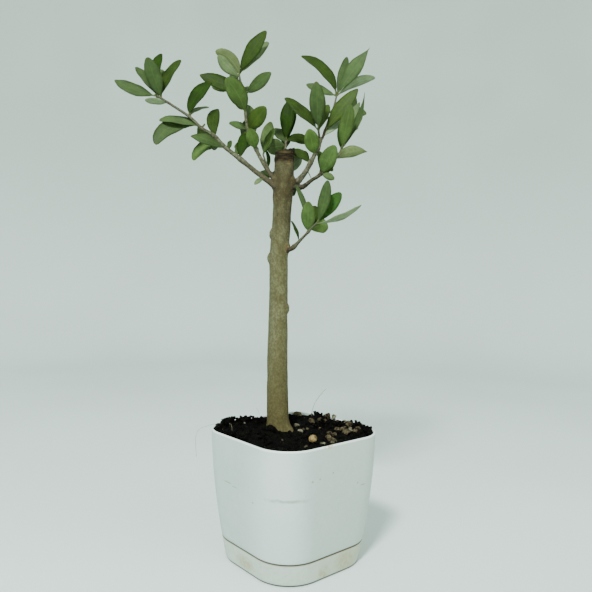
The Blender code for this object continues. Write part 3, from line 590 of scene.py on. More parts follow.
class Finish:
    """One surface finish: a Principled shader whose colours and relief are added in order."""

    def __init__(self, name, roughness, specular):
        self.material = bpy.data.materials.new(name)
        self.material.use_nodes = True
        self.tree = self.material.node_tree
        self.shader = self.tree.nodes["Principled BSDF"]
        self.shader.inputs["Roughness"].default_value = roughness
        self.shader.inputs["Specular IOR Level"].default_value = specular
        self.place = self.node("ShaderNodeTexCoord").outputs["Object"]
        self.colour = None
        self.relief = None

    def node(self, kind, **settings):
        made = self.tree.nodes.new(kind)
        for key, value in settings.items():
            setattr(made, key, value)
        return made

    def feed(self, socket, value):
        """Links a socket to another's output, or sets its value."""
        if isinstance(value, bpy.types.NodeSocket):
            self.tree.links.new(value, socket)
        elif isinstance(value, tuple) and socket.type == "RGBA":
            socket.default_value = (*value, 1.0)
        else:
            socket.default_value = value

    def stretched(self, along, place=None):
        """The object's own coordinates, scaled by a factor for each axis."""
        mapping = self.node("ShaderNodeMapping")
        self.feed(mapping.inputs["Vector"], place or self.place)
        mapping.inputs["Scale"].default_value = along
        return mapping.outputs["Vector"]

    def grain(self, size, place=None, detail=3.0, roughness=0.55, distortion=0.0):
        """Soft noise, whose features are about this many millimetres across, from 0 to 1."""
        made = self.node("ShaderNodeTexNoise")
        self.feed(made.inputs["Vector"], place or self.place)
        made.inputs["Scale"].default_value = 1 / (size * MM)
        made.inputs["Detail"].default_value = detail
        made.inputs["Roughness"].default_value = roughness
        made.inputs["Distortion"].default_value = distortion
        return made.outputs["Fac"]

    def patches(self, size, low, high, start=0.0, end=1.0, **kinds):
        """Soft noise of this size, stretched between two limits to a new range."""
        return self.spread(self.grain(size, **kinds), low, high, start, end)

    def cells(self, size, place=None):
        """Distance from the middle of scattered cells of about this many millimetres."""
        made = self.node("ShaderNodeTexVoronoi")
        self.feed(made.inputs["Vector"], place or self.place)
        made.inputs["Scale"].default_value = 1 / (size * MM)
        return made.outputs["Distance"]

    def spread(self, value, low, high, start=0.0, end=1.0):
        """Stretches the part of a value between two limits to a new range."""
        made = self.node("ShaderNodeMapRange", interpolation_type="SMOOTHSTEP")
        self.feed(made.inputs["Value"], value)
        for name, number in (("From Min", low), ("From Max", high), ("To Min", start), ("To Max", end)):
            made.inputs[name].default_value = number
        return made.outputs["Result"]

    def sum_of(self, how, first, second):
        """Two values put together by one of the math node's ways."""
        made = self.node("ShaderNodeMath", operation=how)
        self.feed(made.inputs[0], first)
        self.feed(made.inputs[1], second)
        return made.outputs["Value"]

    def times(self, first, second):
        return self.sum_of("MULTIPLY", first, second)

    def mix(self, share, first, second):
        """Sets the finish's colour: between two, by a share."""
        made = self.node("ShaderNodeMix", data_type="RGBA")
        self.feed(made.inputs["Factor"], share)
        first_colour, second_colour = [socket for socket in made.inputs if socket.type == "RGBA"]
        self.feed(first_colour, first)
        self.feed(second_colour, second)
        self.colour = next(socket for socket in made.outputs if socket.type == "RGBA")

    def lay(self, share, colour):
        """Lays one more colour over what is there, by a share."""
        self.mix(share, self.colour, colour)

    def axes(self, place=None):
        made = self.node("ShaderNodeSeparateXYZ")
        self.feed(made.inputs["Vector"], place or self.place)
        return made.outputs["X"], made.outputs["Y"], made.outputs["Z"]

    def near(self, point, reach, stretch=(1.0, 1.0, 1.0)):
        """A soft spot round a point given in millimetres: 1 in its middle, 0 past its reach."""
        centred = self.node("ShaderNodeVectorMath", operation="SUBTRACT")
        self.feed(centred.inputs[0], self.place)
        centred.inputs[1].default_value = Vector(point) * MM
        sized = self.node("ShaderNodeVectorMath", operation="MULTIPLY")
        self.feed(sized.inputs[0], centred.outputs["Vector"])
        sized.inputs[1].default_value = stretch
        length = self.node("ShaderNodeVectorMath", operation="LENGTH")
        self.feed(length.inputs[0], sized.outputs["Vector"])
        return self.spread(length.outputs["Value"], 0.3 * reach * MM, reach * MM, 1.0, 0.0)

    def along(self, layer):
        """The two shares stored on the piece: along it and across it."""
        made = self.node("ShaderNodeUVMap", uv_map=layer)
        return self.axes(made.outputs["UV"])[:2]

    def raise_by(self, height, depth, strength=1.0):
        """Adds relief of this depth in millimetres to the surface."""
        bump = self.node("ShaderNodeBump")
        bump.inputs["Strength"].default_value = strength
        bump.inputs["Distance"].default_value = depth * MM
        self.feed(bump.inputs["Height"], height)
        if self.relief is not None:
            self.feed(bump.inputs["Normal"], self.relief)
        self.relief = bump.outputs["Normal"]

    def done(self, roughness=None):
        self.feed(self.shader.inputs["Base Color"], self.colour)
        if roughness is not None:
            self.feed(self.shader.inputs["Roughness"], roughness)
        if self.relief is not None:
            self.feed(self.shader.inputs["Normal"], self.relief)
        return self.material


def pot_plastic():
    """White moulded plastic with a cool cast, slightly mottled, with a few scuffs; painted highlights
    down the front and along the lip, and painted shade on its right side.
    """
    finish = Finish("white_pot_plastic", 0.42, specular=0.45)
    side, _, height = finish.axes()
    finish.mix(finish.patches(28, 0.35, 0.65), tone(178, 190, 184), tone(171, 185, 178))
    # Painted shade: the right side, turned from the light, is laid greyer and a little darker.
    painted_right_shade = finish.spread(side, 4 * MM, 26 * MM, 0.0, 0.75)
    finish.lay(painted_right_shade, tone(175, 184, 175))
    mottle = finish.patches(3.5, 0.3, 0.75, 0.0, 0.4, detail=4.0)
    finish.lay(mottle, tone(166, 178, 171))
    dust = finish.patches(0.8, 0.66, 0.76, 0.0, 0.6, detail=2.0)
    finish.lay(dust, tone(143, 151, 141))
    # Painted highlight: a lighter band down the front, which faces the light.
    painted_front_highlight = finish.near((-12, -64, 52), 60, (1.9, 0.6, 0.5))
    finish.lay(finish.times(painted_front_highlight, 0.6), tone(200, 210, 206))
    # Painted highlight: a bright line along the lip.
    lip = finish.spread(height, POT_HEIGHT - 1.6 * MM, POT_HEIGHT - 0.9 * MM, 0.0, 0.7)
    finish.lay(lip, tone(232, 238, 234))
    wavy = finish.sum_of("ADD", height, finish.patches(9, 0.0, 1.0, -1.5 * MM, 1.5 * MM))
    smear = finish.spread(wavy, 64.6 * MM, 66.4 * MM)
    smear = finish.times(smear, finish.spread(wavy, 68.2 * MM, 66.8 * MM))
    smear = finish.times(smear, finish.near((-3, -62, 66.5), 22))
    smear = finish.times(smear, finish.patches(5, 0.3, 0.6, 0.35, 1.0))
    finish.lay(smear, tone(150, 160, 153))
    for spot, reach, stretch in POT_MARKS:
        finish.lay(finish.times(finish.near(spot, reach, stretch), 0.8), tone(122, 130, 120))
    stain = finish.near((26, -46, 102.6), 5.0, (1.0, 0.2, 1.8))
    stain = finish.times(stain, finish.patches(2, 0.38, 0.55))
    finish.lay(finish.times(stain, 0.85), tone(176, 148, 108))
    ledge = finish.spread(height, 19.0 * MM, 18.2 * MM, 0.0, 0.95)
    finish.lay(ledge, tone(50, 38, 24))
    finish.raise_by(finish.grain(1.2, detail=2.0), 0.02)
    finish.raise_by(finish.grain(16), 0.25, 0.5)
    return finish.done(finish.patches(7, 0.2, 0.8, 0.36, 0.5))


def tray_plastic():
    """The same plastic gone slightly yellow, with dried water stains and painted shade round its foot."""
    finish = Finish("white_tray_plastic", 0.45, specular=0.4)
    side, _, height = finish.axes()
    finish.mix(finish.spread(side, 0.0, 50 * MM), tone(182, 191, 181), tone(173, 177, 155))
    mottle = finish.patches(4, 0.35, 0.75, 0.0, 0.45, detail=4.0)
    finish.lay(mottle, tone(168, 174, 158))
    blot = finish.grain(3.2, detail=4.0, distortion=0.6)
    dried = finish.spread(blot, 0.38, 0.56, 0.4, 0.9)
    for spot, reach, stretch in TRAY_STAINS:
        finish.lay(finish.times(finish.near(spot, reach, stretch), dried), tone(160, 157, 124))
    specks = finish.patches(1.0, 0.66, 0.74, 0.0, 0.7, detail=2.0)
    finish.lay(specks, tone(139, 132, 107))
    # Painted shade: a dark line round the foot, where the tray stands on the floor.
    foot = finish.spread(height, 2.0 * MM, 1.1 * MM, 0.0, 0.95)
    finish.lay(foot, tone(46, 47, 40))
    edge = finish.spread(height, 16.4 * MM, 17.3 * MM, 0.0, 0.85)
    finish.lay(edge, tone(96, 78, 50))
    for spot, reach in RUST_DOTS:
        finish.lay(finish.times(finish.near(spot, reach), 0.8), tone(168, 122, 62))
    finish.raise_by(finish.grain(1.4, detail=2.0), 0.025)
    return finish.done(finish.spread(blot, 0.3, 0.7, 0.4, 0.55))


def potting_soil():
    """Nearly black, moist compost with brown fibres."""
    finish = Finish("moist_potting_soil", 0.95, specular=0.04)
    finish.mix(finish.patches(4, 0.35, 0.65, detail=6.0), tone(4, 4, 4), tone(14, 12, 9))
    fibres = finish.patches(1.5, 0.60, 0.68, 0.0, 0.5, detail=5.0, distortion=1.2)
    finish.lay(fibres, tone(34, 27, 18))
    finish.raise_by(finish.grain(1.6, detail=6.0, roughness=0.7), 1.1)
    finish.raise_by(finish.cells(0.9), 0.35, 0.8)
    return finish.done()


def crumb_finish(name, pale, dark, grey):
    """A bit of bark, stone or pumice in the soil: mottled, pitted and dirty in patches."""
    finish = Finish(name, 0.9, specular=0.1)
    finish.mix(finish.patches(2.4, 0.35, 0.65, detail=5.0), tone(*pale), tone(*dark))
    pits = finish.patches(0.8, 0.54, 0.64, 0.0, 0.75, detail=3.0)
    finish.lay(pits, tone(*grey))
    dirt = finish.patches(3.5, 0.50, 0.58, 0.0, 0.7, detail=5.0, distortion=0.5)
    finish.lay(dirt, tone(22, 17, 12))
    finish.raise_by(finish.grain(1.0, detail=5.0, roughness=0.65), 0.6)
    return finish.done()


def old_bark():
    """The trunk's bark: olive grey, finely speckled, browner towards the soil and the shoots, with
    painted light that makes its right side paler.
    """
    finish = Finish("olive_trunk_bark", 0.85, specular=0.06)
    side, _, height = finish.axes()
    lengthways = finish.stretched((1.0, 1.0, 0.75))
    finish.mix(finish.patches(9, 0.35, 0.65, detail=5.0), tone(81, 77, 51), tone(97, 94, 67))
    greyer = finish.spread(side, -20 * MM, -14 * MM, 0.5, 0.0)
    finish.lay(greyer, tone(94, 96, 73))
    # Painted light: the right side, which lies in shade, is laid paler.
    paler = finish.spread(side, -10 * MM, -5 * MM, 0.0, 0.6)
    finish.lay(paler, tone(104, 98, 71))
    low = finish.spread(height, 190 * MM, 105 * MM, 0.0, 0.8)
    finish.lay(low, tone(81, 73, 44))
    collar = finish.spread(height, 235 * MM, 300 * MM)
    patches = finish.patches(6, 0.35, 0.65, 0.35, 1.0, detail=5.0)
    finish.lay(finish.times(collar, patches), tone(53, 50, 35))
    fork = finish.spread(height, 282 * MM, 296 * MM)
    fork = finish.times(fork, finish.spread(height, 316 * MM, 304 * MM))
    fork = finish.times(fork, finish.patches(4, 0.4, 0.6, 0.1, 0.8, detail=4.0))
    finish.lay(fork, tone(58, 47, 30))
    speckle = finish.patches(1.5, 0.40, 0.60, place=lengthways, detail=5.0)
    finish.lay(finish.times(speckle, 0.5), tone(58, 52, 34))
    specks = finish.patches(1.0, 0.58, 0.68, 0.0, 0.28, place=lengthways, detail=4.0, distortion=0.4)
    finish.lay(specks, tone(110, 107, 81))
    rust = finish.patches(1.9, 0.60, 0.68, 0.0, 0.45, place=lengthways, detail=5.0)
    finish.lay(rust, tone(86, 64, 37))
    bands = finish.grain(2.2, finish.stretched((0.2, 0.2, 1.6)), detail=5.0)
    top = finish.spread(height, 319.5 * MM, 322.0 * MM)
    finish.lay(finish.times(top, 0.75), tone(59, 47, 29))
    dark_bands = finish.times(top, finish.spread(bands, 0.42, 0.56, 0.1, 0.95))
    finish.lay(dark_bands, tone(25, 19, 12))
    crown = finish.spread(height, 327.5 * MM, 330.5 * MM, 0.0, 0.85)
    finish.lay(crown, tone(23, 19, 13))
    ring = finish.spread(height, 317.4 * MM, 318.3 * MM)
    ring = finish.times(ring, finish.spread(height, 319.5 * MM, 318.6 * MM))
    ring = finish.times(ring, finish.patches(3, 0.4, 0.6, 0.0, 0.7))
    finish.lay(ring, tone(117, 104, 71))
    for spot, reach, colour in BARK_MARKS:
        mark = finish.times(finish.near(spot, reach), finish.patches(1.4, 0.35, 0.6, 0.2, 0.9))
        finish.lay(mark, tone(*colour))
    finish.raise_by(finish.grain(1.1, lengthways, detail=5.0, roughness=0.65), 0.45)
    finish.raise_by(finish.grain(4, lengthways), 0.7, 0.7)
    return finish.done(finish.spread(speckle, 0.0, 1.0, 0.78, 0.92))


def cut_wood():
    """The old saw cut: weathered dark end grain."""
    finish = Finish("weathered_saw_cut", 0.9, specular=0.08)
    finish.mix(finish.patches(1.8, 0.35, 0.65, detail=5.0), tone(28, 22, 15), tone(62, 50, 34))
    finish.raise_by(finish.grain(1.0, detail=5.0), 0.6)
    return finish.done()


def young_bark(name, base, patch, pale, dark, foot, tip):
    """Bark of a shoot: two mottled tones, pale and dark flecks, tones of their own towards its foot
    and its tip, and painted shade on its underside."""
    finish = Finish(name, 0.8, specular=0.06)
    share = finish.along("along")[0]
    finish.mix(finish.patches(3.2, 0.4, 0.6, detail=4.0), tone(*base), tone(*patch))
    finish.lay(finish.spread(share, 0.62, 0.95, 0.0, 0.75), tone(*tip))
    flakes = finish.patches(1.9, 0.52, 0.60, 0.0, 0.7, detail=5.0, distortion=0.7)
    finish.lay(flakes, tone(*pale))
    finish.lay(finish.spread(share, 0.34, 0.10, 0.0, 0.85), tone(*foot))
    scars = finish.patches(1.3, 0.57, 0.65, 0.0, 0.85, detail=4.0, roughness=0.65)
    finish.lay(scars, tone(*dark))
    # Painted shade: where the surface faces down, the dark scar tone is laid over the bark.
    under = finish.node("ShaderNodeNewGeometry").outputs["Normal"]
    shade = finish.spread(finish.axes(under)[2], -0.2, -0.9, 0.0, 0.45)
    finish.lay(shade, tone(*dark))
    finish.raise_by(finish.grain(1.0, detail=5.0, roughness=0.65), 0.45)
    return finish.done()


def twig_bark():
    """Twigs and leaf buds: green-grey with brown flecks."""
    finish = Finish("green_twig_bark", 0.75, specular=0.12)
    finish.mix(finish.patches(2.5, 0.4, 0.62, detail=4.0), tone(80, 84, 52), tone(66, 62, 38))
    finish.raise_by(finish.grain(0.8, detail=4.0), 0.2)
    return finish.done()


def leaf_finish(name, colour, gloss, under=False):
    """Leathery face of a leaf: a faint paler midrib, side veins, soft blotches of its own tone, painted
    shade along its margins and a dry tip. An underside is duller."""
    finish = Finish(name, 0.55, specular=gloss)
    main = tone(*colour)
    share, across = finish.along("blade")
    offset = finish.sum_of("ABSOLUTE", finish.sum_of("SUBTRACT", across, 0.5), 0.0)
    blotch = finish.patches(9, 0.3, 0.7, detail=3.0)
    finish.mix(blotch, shaded(main, 0.74), shaded(main, 1.28))
    cloud = finish.patches(2.2, 0.35, 0.7, 0.0, 0.5, detail=4.0)
    finish.lay(cloud, shaded(main, 0.7))
    base = finish.spread(share, 0.45, 0.12, 0.0, 0.55)
    finish.lay(base, shaded(main, 0.66))
    # Painted shade: the margins are laid darker, as shade along the blade's edges.
    edge = finish.spread(offset, 0.34, 0.5, 0.0, 0.6)
    finish.lay(edge, shaded(main, 0.6))
    veins = finish.node("ShaderNodeMath", operation="SINE")
    slanted = finish.times(offset, VEIN_SLANT)
    slanted = finish.sum_of("ADD", slanted, finish.times(share, VEIN_COUNT))
    finish.feed(veins.inputs[0], slanted)
    vein = finish.spread(veins.outputs["Value"], 0.7, 1.0, 0.0, 0.12)
    finish.lay(vein, shaded(main, 1.35))
    rib = finish.spread(offset, 0.05, 0.02, 0.0, 0.28)
    rib = finish.times(rib, finish.spread(share, 1.0, 0.7, 0.2, 1.0))
    finish.lay(rib, shaded(main, 1.7))
    stalk = finish.spread(share, 0.12, 0.06, 0.0, 0.7)
    finish.lay(stalk, tone(84, 90, 50))
    dry = finish.patches(7, 0.52, 0.66, 0.0, 0.5)
    dry = finish.times(finish.spread(share, 0.9, 1.0), dry)
    finish.lay(dry, tone(70, 60, 32))
    finish.raise_by(rib, 0.25, 0.6)
    finish.raise_by(vein, 0.4, 0.5)
    finish.raise_by(finish.grain(1.4, detail=3.0), 0.12, 0.6)
    return finish.done(finish.spread(blotch, 0.0, 1.0, 0.5, 0.64) if not under else 0.75)


def underside_of(colour):
    """The sRGB tone of a leaf's underside: between its own tone and a common paler one."""
    return tuple(a + (b - a) * UNDERSIDE_SHARE for a, b in zip(colour, UNDERSIDE_TONE))


def root_hair():
    finish = Finish("dry_root_hair", 0.8, specular=0.2)
    finish.mix(finish.patches(3, 0.4, 0.6), tone(70, 64, 50), tone(112, 106, 88))
    finish.raise_by(finish.grain(0.5), 0.05)
    return finish.done()


def backdrop_paint():
    """The room's pale floor and wall: a little darker towards the top, as painted shade."""
    finish = Finish("pale_backdrop", 0.8, specular=0.1)
    # Painted shade: the wall is laid darker as it rises.
    rise = finish.spread(finish.axes()[2], 0.0, 0.8)
    finish.mix(rise, tone(221, 232, 229), tone(195, 204, 197))
    finish.lay(finish.patches(300, 0.3, 0.7, 0.0, 0.4, detail=1.0), tone(210, 219, 214))
    return finish.done()


def link(obj):
    bpy.context.scene.collection.objects.link(obj)
    return obj


def drawn_object(name, bm, materials, smooth_below=None):
    """The bmesh as an object. Edges are sharp from this angle in degrees, if one is given."""
    bmesh.ops.recalc_face_normals(bm, faces=bm.faces)
    mesh = bpy.data.meshes.new(name)
    bm.to_mesh(mesh)
    bm.free()
    for material in materials:
        mesh.materials.append(material)
    mesh.shade_smooth()
    if smooth_below is not None:
        mesh.set_sharp_from_angle(angle=math.radians(smooth_below))
    return link(bpy.data.objects.new(name, mesh))


def new_piece(name, bm, materials, smooth_below=None):
    """The bmesh as a piece that rides on the plant's one body."""
    piece = drawn_object(name, bm, materials, smooth_below)
    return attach(piece, "root")


def skin(bm, rings, close_first=True, close_last=True):
    """Draws a surface through the rings: each is the last one's edge extruded. Gives the points
    of each ring back, in order."""
    edge = bmesh.ops.create_circle(bm, segments=len(rings[0]), radius=1.0)["verts"]
    for vertex, place in zip(edge, rings[0]):
        vertex.co = place
    drawn = [edge]
    for ring in rings[1:]:
        sides = [bm.edges.get((edge[i - 1], edge[i])) for i in range(len(edge))]
        made = bmesh.ops.extrude_edge_only(bm, edges=sides)["geom"]
        fresh = {v for v in made if isinstance(v, bmesh.types.BMVert)}
        grown = []
        for vertex in edge:
            above = [e.other_vert(vertex) for e in vertex.link_edges]
            grown.append(next(v for v in above if v in fresh))
        for vertex, place in zip(grown, ring):
            vertex.co = place
        edge = grown
        drawn.append(edge)
    for wanted, ends in ((close_first, drawn[0]), (close_last, drawn[-1])):
        if wanted:
            rim = [bm.edges.get((ends[i - 1], ends[i])) for i in range(len(ends))]
            bmesh.ops.contextual_create(bm, geom=rim)
    return drawn


def rounded_square(half_side, corner, z):
    """One ring of points at height z, turned as the pot stands."""
    ring = []
    for quarter in range(4):
        middle = Vector((half_side - corner, half_side - corner, 0.0))
        middle.rotate(Matrix.Rotation(quarter * math.pi / 2, 3, "Z"))
        for step in range(CORNER_STEPS + 1):
            angle = (quarter + step / CORNER_STEPS) * math.pi / 2
            point = middle + corner * Vector((math.cos(angle), math.sin(angle), 0.0))
            point.rotate(Matrix.Rotation(POT_TURN, 3, "Z"))
            ring.append(point + Vector((0.0, 0.0, z)))
    return ring


def side_at(z, inset=0.0):
    """Half the side and the corner radius of the pot's outer face at height z, less an inset."""
    down = min(1.0, max(0.0, 1.0 - z / POT_HEIGHT)) ** SIDE_SWELL
    half_side = RIM_HALF_SIDE + (FOOT_HALF_SIDE - RIM_HALF_SIDE) * down
    corner = RIM_CORNER + (FOOT_CORNER - RIM_CORNER) * down
    return half_side - inset - FINE_INSET, corner - inset - FINE_INSET


def square_ring(z, inset=0.0):
    half_side, corner = side_at(z, inset)
    return rounded_square(half_side, corner, z)


def steps(start, end, count):
    return [start + (end - start) * i / count for i in range(count + 1)]


def all_round(across, aside, sides):
    """Angles and directions, evenly spaced all round from two directions at right angles."""
    for side in range(sides):
        angle = 2 * math.pi * side / sides
        yield angle, across * math.cos(angle) + aside * math.sin(angle)


def noise_at(place, width, shift=Vector()):
    """Smooth noise from -1 to 1, whose features are about this many millimetres across."""
    return noise.noise(place * 1000 / width + shift)


def rounded_lip(z, wall):
    """Rings over a wall's top edge, from its outer to its inner face."""
    bends = [math.radians(angle) for angle in LIP_ANGLES]
    places = [(z - LIP_ROUNDING * (1 - math.sin(b)), LIP_ROUNDING * (1 - math.cos(b))) for b in bends]
    outer = [square_ring(height, inset) for height, inset in places]
    inner = [square_ring(height, wall - inset) for height, inset in reversed(places)]
    return outer + inner


def dress_tray(material):
    """The water tray: a low wall with a softly rounded foot and lip."""
    foot = [rounded_square(*side_at(0.0, inset * MM), z * MM) for inset, z in TRAY_FOOT]
    outer = [square_ring(z) for z in steps(2.0 * MM, TRAY_HEIGHT - 1.0 * MM, 8)]
    lip = rounded_lip(TRAY_HEIGHT, TRAY_WALL)
    inner = [square_ring(z, TRAY_WALL) for z in steps(TRAY_HEIGHT - 1.2 * MM, TRAY_WALL + 0.6 * MM, 5)]
    corner = [square_ring(TRAY_WALL + z * MM, TRAY_WALL + inset * MM) for inset, z in TRAY_CORNER]
    bm = bmesh.new()
    skin(bm, foot + outer + lip + inner + corner)
    tray = new_piece("tray_shell", bm, [material], smooth_below=50)
    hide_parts("water_tray")


def dress_pot(material):
    """The pot: its sunk foot, the ledge over the tray, the swelling wall and the thin lip."""
    ledge = TRAY_HEIGHT + TRAY_GROOVE
    floor = TRAY_WALL + GAP
    sunk_inset = TRAY_WALL + TRAY_FIT + GAP
    sunk = [square_ring(floor + z * MM, sunk_inset + inset * MM) for inset, z in SUNK_FOOT]
    sunk += [square_ring(z, sunk_inset) for z in steps(floor + 2 * MM, ledge - 0.3 * MM, 3)]
    under = [square_ring(ledge, sunk_inset - GAP)]
    under += [square_ring(ledge + z * MM, inset * MM) for inset, z in POT_LEDGE]
    wall = [square_ring(z) for z in steps(ledge + 0.4 * MM, POT_HEIGHT - 1.2 * MM, 24)]
    lip = rounded_lip(POT_HEIGHT, POT_WALL)
    inner = [square_ring(z, POT_WALL) for z in steps(POT_HEIGHT - 1.2 * MM, ledge + POT_WALL, 10)]
    inner += [square_ring(z, sunk_inset + POT_WALL) for z in (ledge + POT_WALL, floor + POT_WALL)]
    bm = bmesh.new()
    skin(bm, sunk + under + wall + lip + inner)
    pot = new_piece("pot_shell", bm, [material], smooth_below=50)
    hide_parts("pot")


def soil_level(x, y):
    """The height of the soil's top at this place."""
    place = Vector((x, y, 0.0)) / SOIL_LUMP_WIDTH
    finer, share = SOIL_FINE_LUMPS
    lump = SOIL_LUMP * (noise.noise(place) + share * noise.noise(place * finer))
    for heap_x, heap_y, spread, rise in SOIL_HEAPS:
        away = math.hypot(x - heap_x * MM, y - heap_y * MM) / (spread * MM)
        lump += rise * MM * math.exp(-away ** 2)
    from_seat = math.hypot(x - SOIL_SEAT.x, y - SOIL_SEAT.y) - SOIL_SEAT_RADIUS
    return SOIL_HEIGHT + min(1.0, max(0.0, from_seat / SOIL_SETTLE)) * lump


def rim_reach(bearing):
    """How far the pot's inner face at soil height is from the middle, in this direction."""
    half_side, corner = side_at(SOIL_HEIGHT, POT_WALL + GAP)
    turned = (bearing - POT_TURN) % (math.pi / 2)
    folded = min(turned, math.pi / 2 - turned)
    flat = half_side / math.cos(folded)
    centre = (half_side - corner) * math.sqrt(2)
    off = math.pi / 4 - folded
    bow = centre * math.cos(off) + math.sqrt(max(0.0, corner ** 2 - (centre * math.sin(off)) ** 2))
    return min(flat, bow)


def soil_hummocks(x, y):
    """How far clods and crumbs stand over the soil's even lumps."""
    place = Vector((x, y, 0.0))
    crumbs = CRUMB_SHARE * noise_at(place, CRUMB_WIDTH, CRUMB_SHIFT)
    return (noise_at(place, CLOD_WIDTH) + crumbs) * SOIL_HUMMOCK * MM


def ground(x, y):
    """The height of the soil here, with its clods and crumbs."""
    return soil_level(x, y) + soil_hummocks(x, y)


def dress_soil(material):
    """The filling, with a rough top that heaps up against the back of the pot."""
    inset = POT_WALL + GAP
    low = TRAY_WALL + GAP + POT_WALL + GAP
    shoulder = TRAY_HEIGHT + TRAY_GROOVE + POT_WALL + GAP
    sunk_inset = TRAY_WALL + TRAY_FIT + GAP
    rings = [square_ring(z, sunk_inset + inset) for z in (low, shoulder)]
    rings += [square_ring(z, inset) for z in steps(shoulder, SOIL_HEIGHT, 6)]
    top = rings[-1]
    edge_ring = len(rings) - 1
    for row in range(1, SOIL_ROWS + 1):
        share = 1 - (row / (SOIL_ROWS + 1)) ** SOIL_CROWDING
        rings.append([Vector((p.x * share, p.y * share, p.z)) for p in top])
    bm = bmesh.new()
    drawn = skin(bm, rings)
    for ring in drawn[edge_ring:]:
        for vertex in ring:
            x, y = vertex.co.x, vertex.co.y
            edge = rim_reach(math.atan2(y, x)) - math.hypot(x, y)
            fade = min(1.0, max(0.0, edge / SOIL_EDGE_FADE))
            vertex.co.z = soil_level(x, y) + fade * soil_hummocks(x, y)
    soil = new_piece("soil_filling", bm, [material])
    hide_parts("soil")


def add_crumb(bm, middle, size, flat, chance, finer=False, facets=0, knocked=0.55):
    """One rough grain: a round shape knocked out of true, with some of its sides broken off,
    pressed flat and turned."""
    made = bmesh.ops.create_icosphere(bm, subdivisions=2 if finer else 1, radius=size)
    shift = Vector([chance.uniform(0, 50) for _ in range(3)])
    for vertex in made["verts"]:
        knock = noise.noise(vertex.co / size * GRAIN_KNOCKS + shift)
        vertex.co *= 1 + knocked * knock
    for _ in range(facets):
        broken = Vector([chance.uniform(-1, 1) for _ in range(3)]).normalized()
        reach = size * chance.uniform(*BREAK_REACH)
        for vertex in made["verts"]:
            vertex.co -= broken * max(0.0, vertex.co.dot(broken) - reach)
    squash = (chance.uniform(*GRAIN_SQUASH), chance.uniform(*GRAIN_SQUASH), flat)
    bmesh.ops.scale(bm, vec=squash, verts=made["verts"])
    turn = Matrix.Rotation(chance.uniform(0, 6.28), 3, "Z")
    tip = Matrix.Rotation(chance.uniform(*GRAIN_TIP), 3, "X")
    bmesh.ops.rotate(bm, matrix=turn @ tip, verts=made["verts"])
    bmesh.ops.translate(bm, vec=middle, verts=made["verts"])


def scatter_soil(materials):
    """Loose crumbs all over, clods piled along the back and sides of the rim and beside the
    trunk, and the listed bits."""
    chance = random.Random(CRUMB_SEED)
    crumbs = bmesh.new()
    for _ in range(CRUMBS):
        bearing = chance.uniform(0, 2 * math.pi)
        out = rim_reach(bearing) * math.sqrt(chance.uniform(*CRUMB_SPREAD))
        x, y = out * math.cos(bearing), out * math.sin(bearing)
        size = chance.uniform(*CRUMB_SIZES) * MM
        middle = Vector((x, y, ground(x, y) + CRUMB_OUT * size))
        add_crumb(crumbs, middle, size, chance.uniform(*CRUMB_HEIGHTS), chance)
    for start, end, count, low, high in RIM_PILES:
        for _ in range(count):
            bearing = math.radians(chance.uniform(start, end))
            size = chance.uniform(*PILE_SIZES) * MM
            inwards = chance.uniform(0, 1) ** 2
            out = rim_reach(bearing) - PILE_NEAR * size - PILE_DEPTH * inwards
            x, y = out * math.cos(bearing), out * math.sin(bearing)
            top = POT_HEIGHT + chance.uniform(low, high) * MM - PILE_FALL * inwards
            middle = Vector((x, y, top - PILE_DOWN * size))
            add_crumb(crumbs, middle, size, chance.uniform(*PILE_HEIGHTS), chance, finer=True, facets=3)
    for x, y, top, spread, count in MOUNDS:
        for _ in range(count):
            size = chance.uniform(*MOUND_SIZES) * MM
            aside = Vector((chance.gauss(0, spread), chance.gauss(0, spread), 0.0)) * MM
            fall = (aside.length / (spread * MM)) ** 2
            middle = Vector((x, y, top)) * MM + aside - Vector((0, 0, 1)) * (MOUND_FALL * fall + size)
            add_crumb(crumbs, middle, size, chance.uniform(*MOUND_HEIGHTS), chance, finer=True, facets=2)
    bits = {kind: bmesh.new() for kind in ("stone", "chip", "pumice")}
    for x, y, size, kind, flat in SOIL_BITS:
        x, y, size = x * MM, y * MM, size * MM
        facets, knocked = STONE_SHAPE if kind == "stone" else BIT_SHAPE
        middle = Vector((x, y, ground(x, y) + BIT_OUT * size * flat))
        add_crumb(bits[kind], middle, size, flat, chance, True, facets, knocked)
    for piece in (
        new_piece("soil_crumbs", crumbs, [materials["soil"]], smooth_below=50),
        new_piece("round_stone", bits["stone"], [materials["stone"]]),
        new_piece("bark_chips", bits["chip"], [materials["chip"]], smooth_below=25),
        new_piece("pumice_bits", bits["pumice"], [materials["pumice"]], smooth_below=25),
    ):
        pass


def trunk_section(z):
    """Middle and radius of the trunk at height z in metres, eased between its listed sections."""
    rows = TRUNK_SECTIONS
    height = min(max(z / MM, rows[0][0]), rows[-1][0])
    upper = next(i for i in range(1, len(rows)) if height <= rows[i][0])
    low, high = rows[upper - 1], rows[upper]
    share = (height - low[0]) / (high[0] - low[0])
    x, y, across = (low[k] + (high[k] - low[k]) * share for k in (1, 2, 3))
    return Vector((x, y, height)) * MM, across * MM / 2


def bark_relief(point, z):
    """Height of the bark over the smooth trunk, in metres."""
    rise = 0.0
    for width, lengthways, height, shift in BARK_LAYERS:
        rise += height * noise_at(Vector((point.x, point.y, z * lengthways)), width, shift)
    return (rise - BARK_SINK) * MM


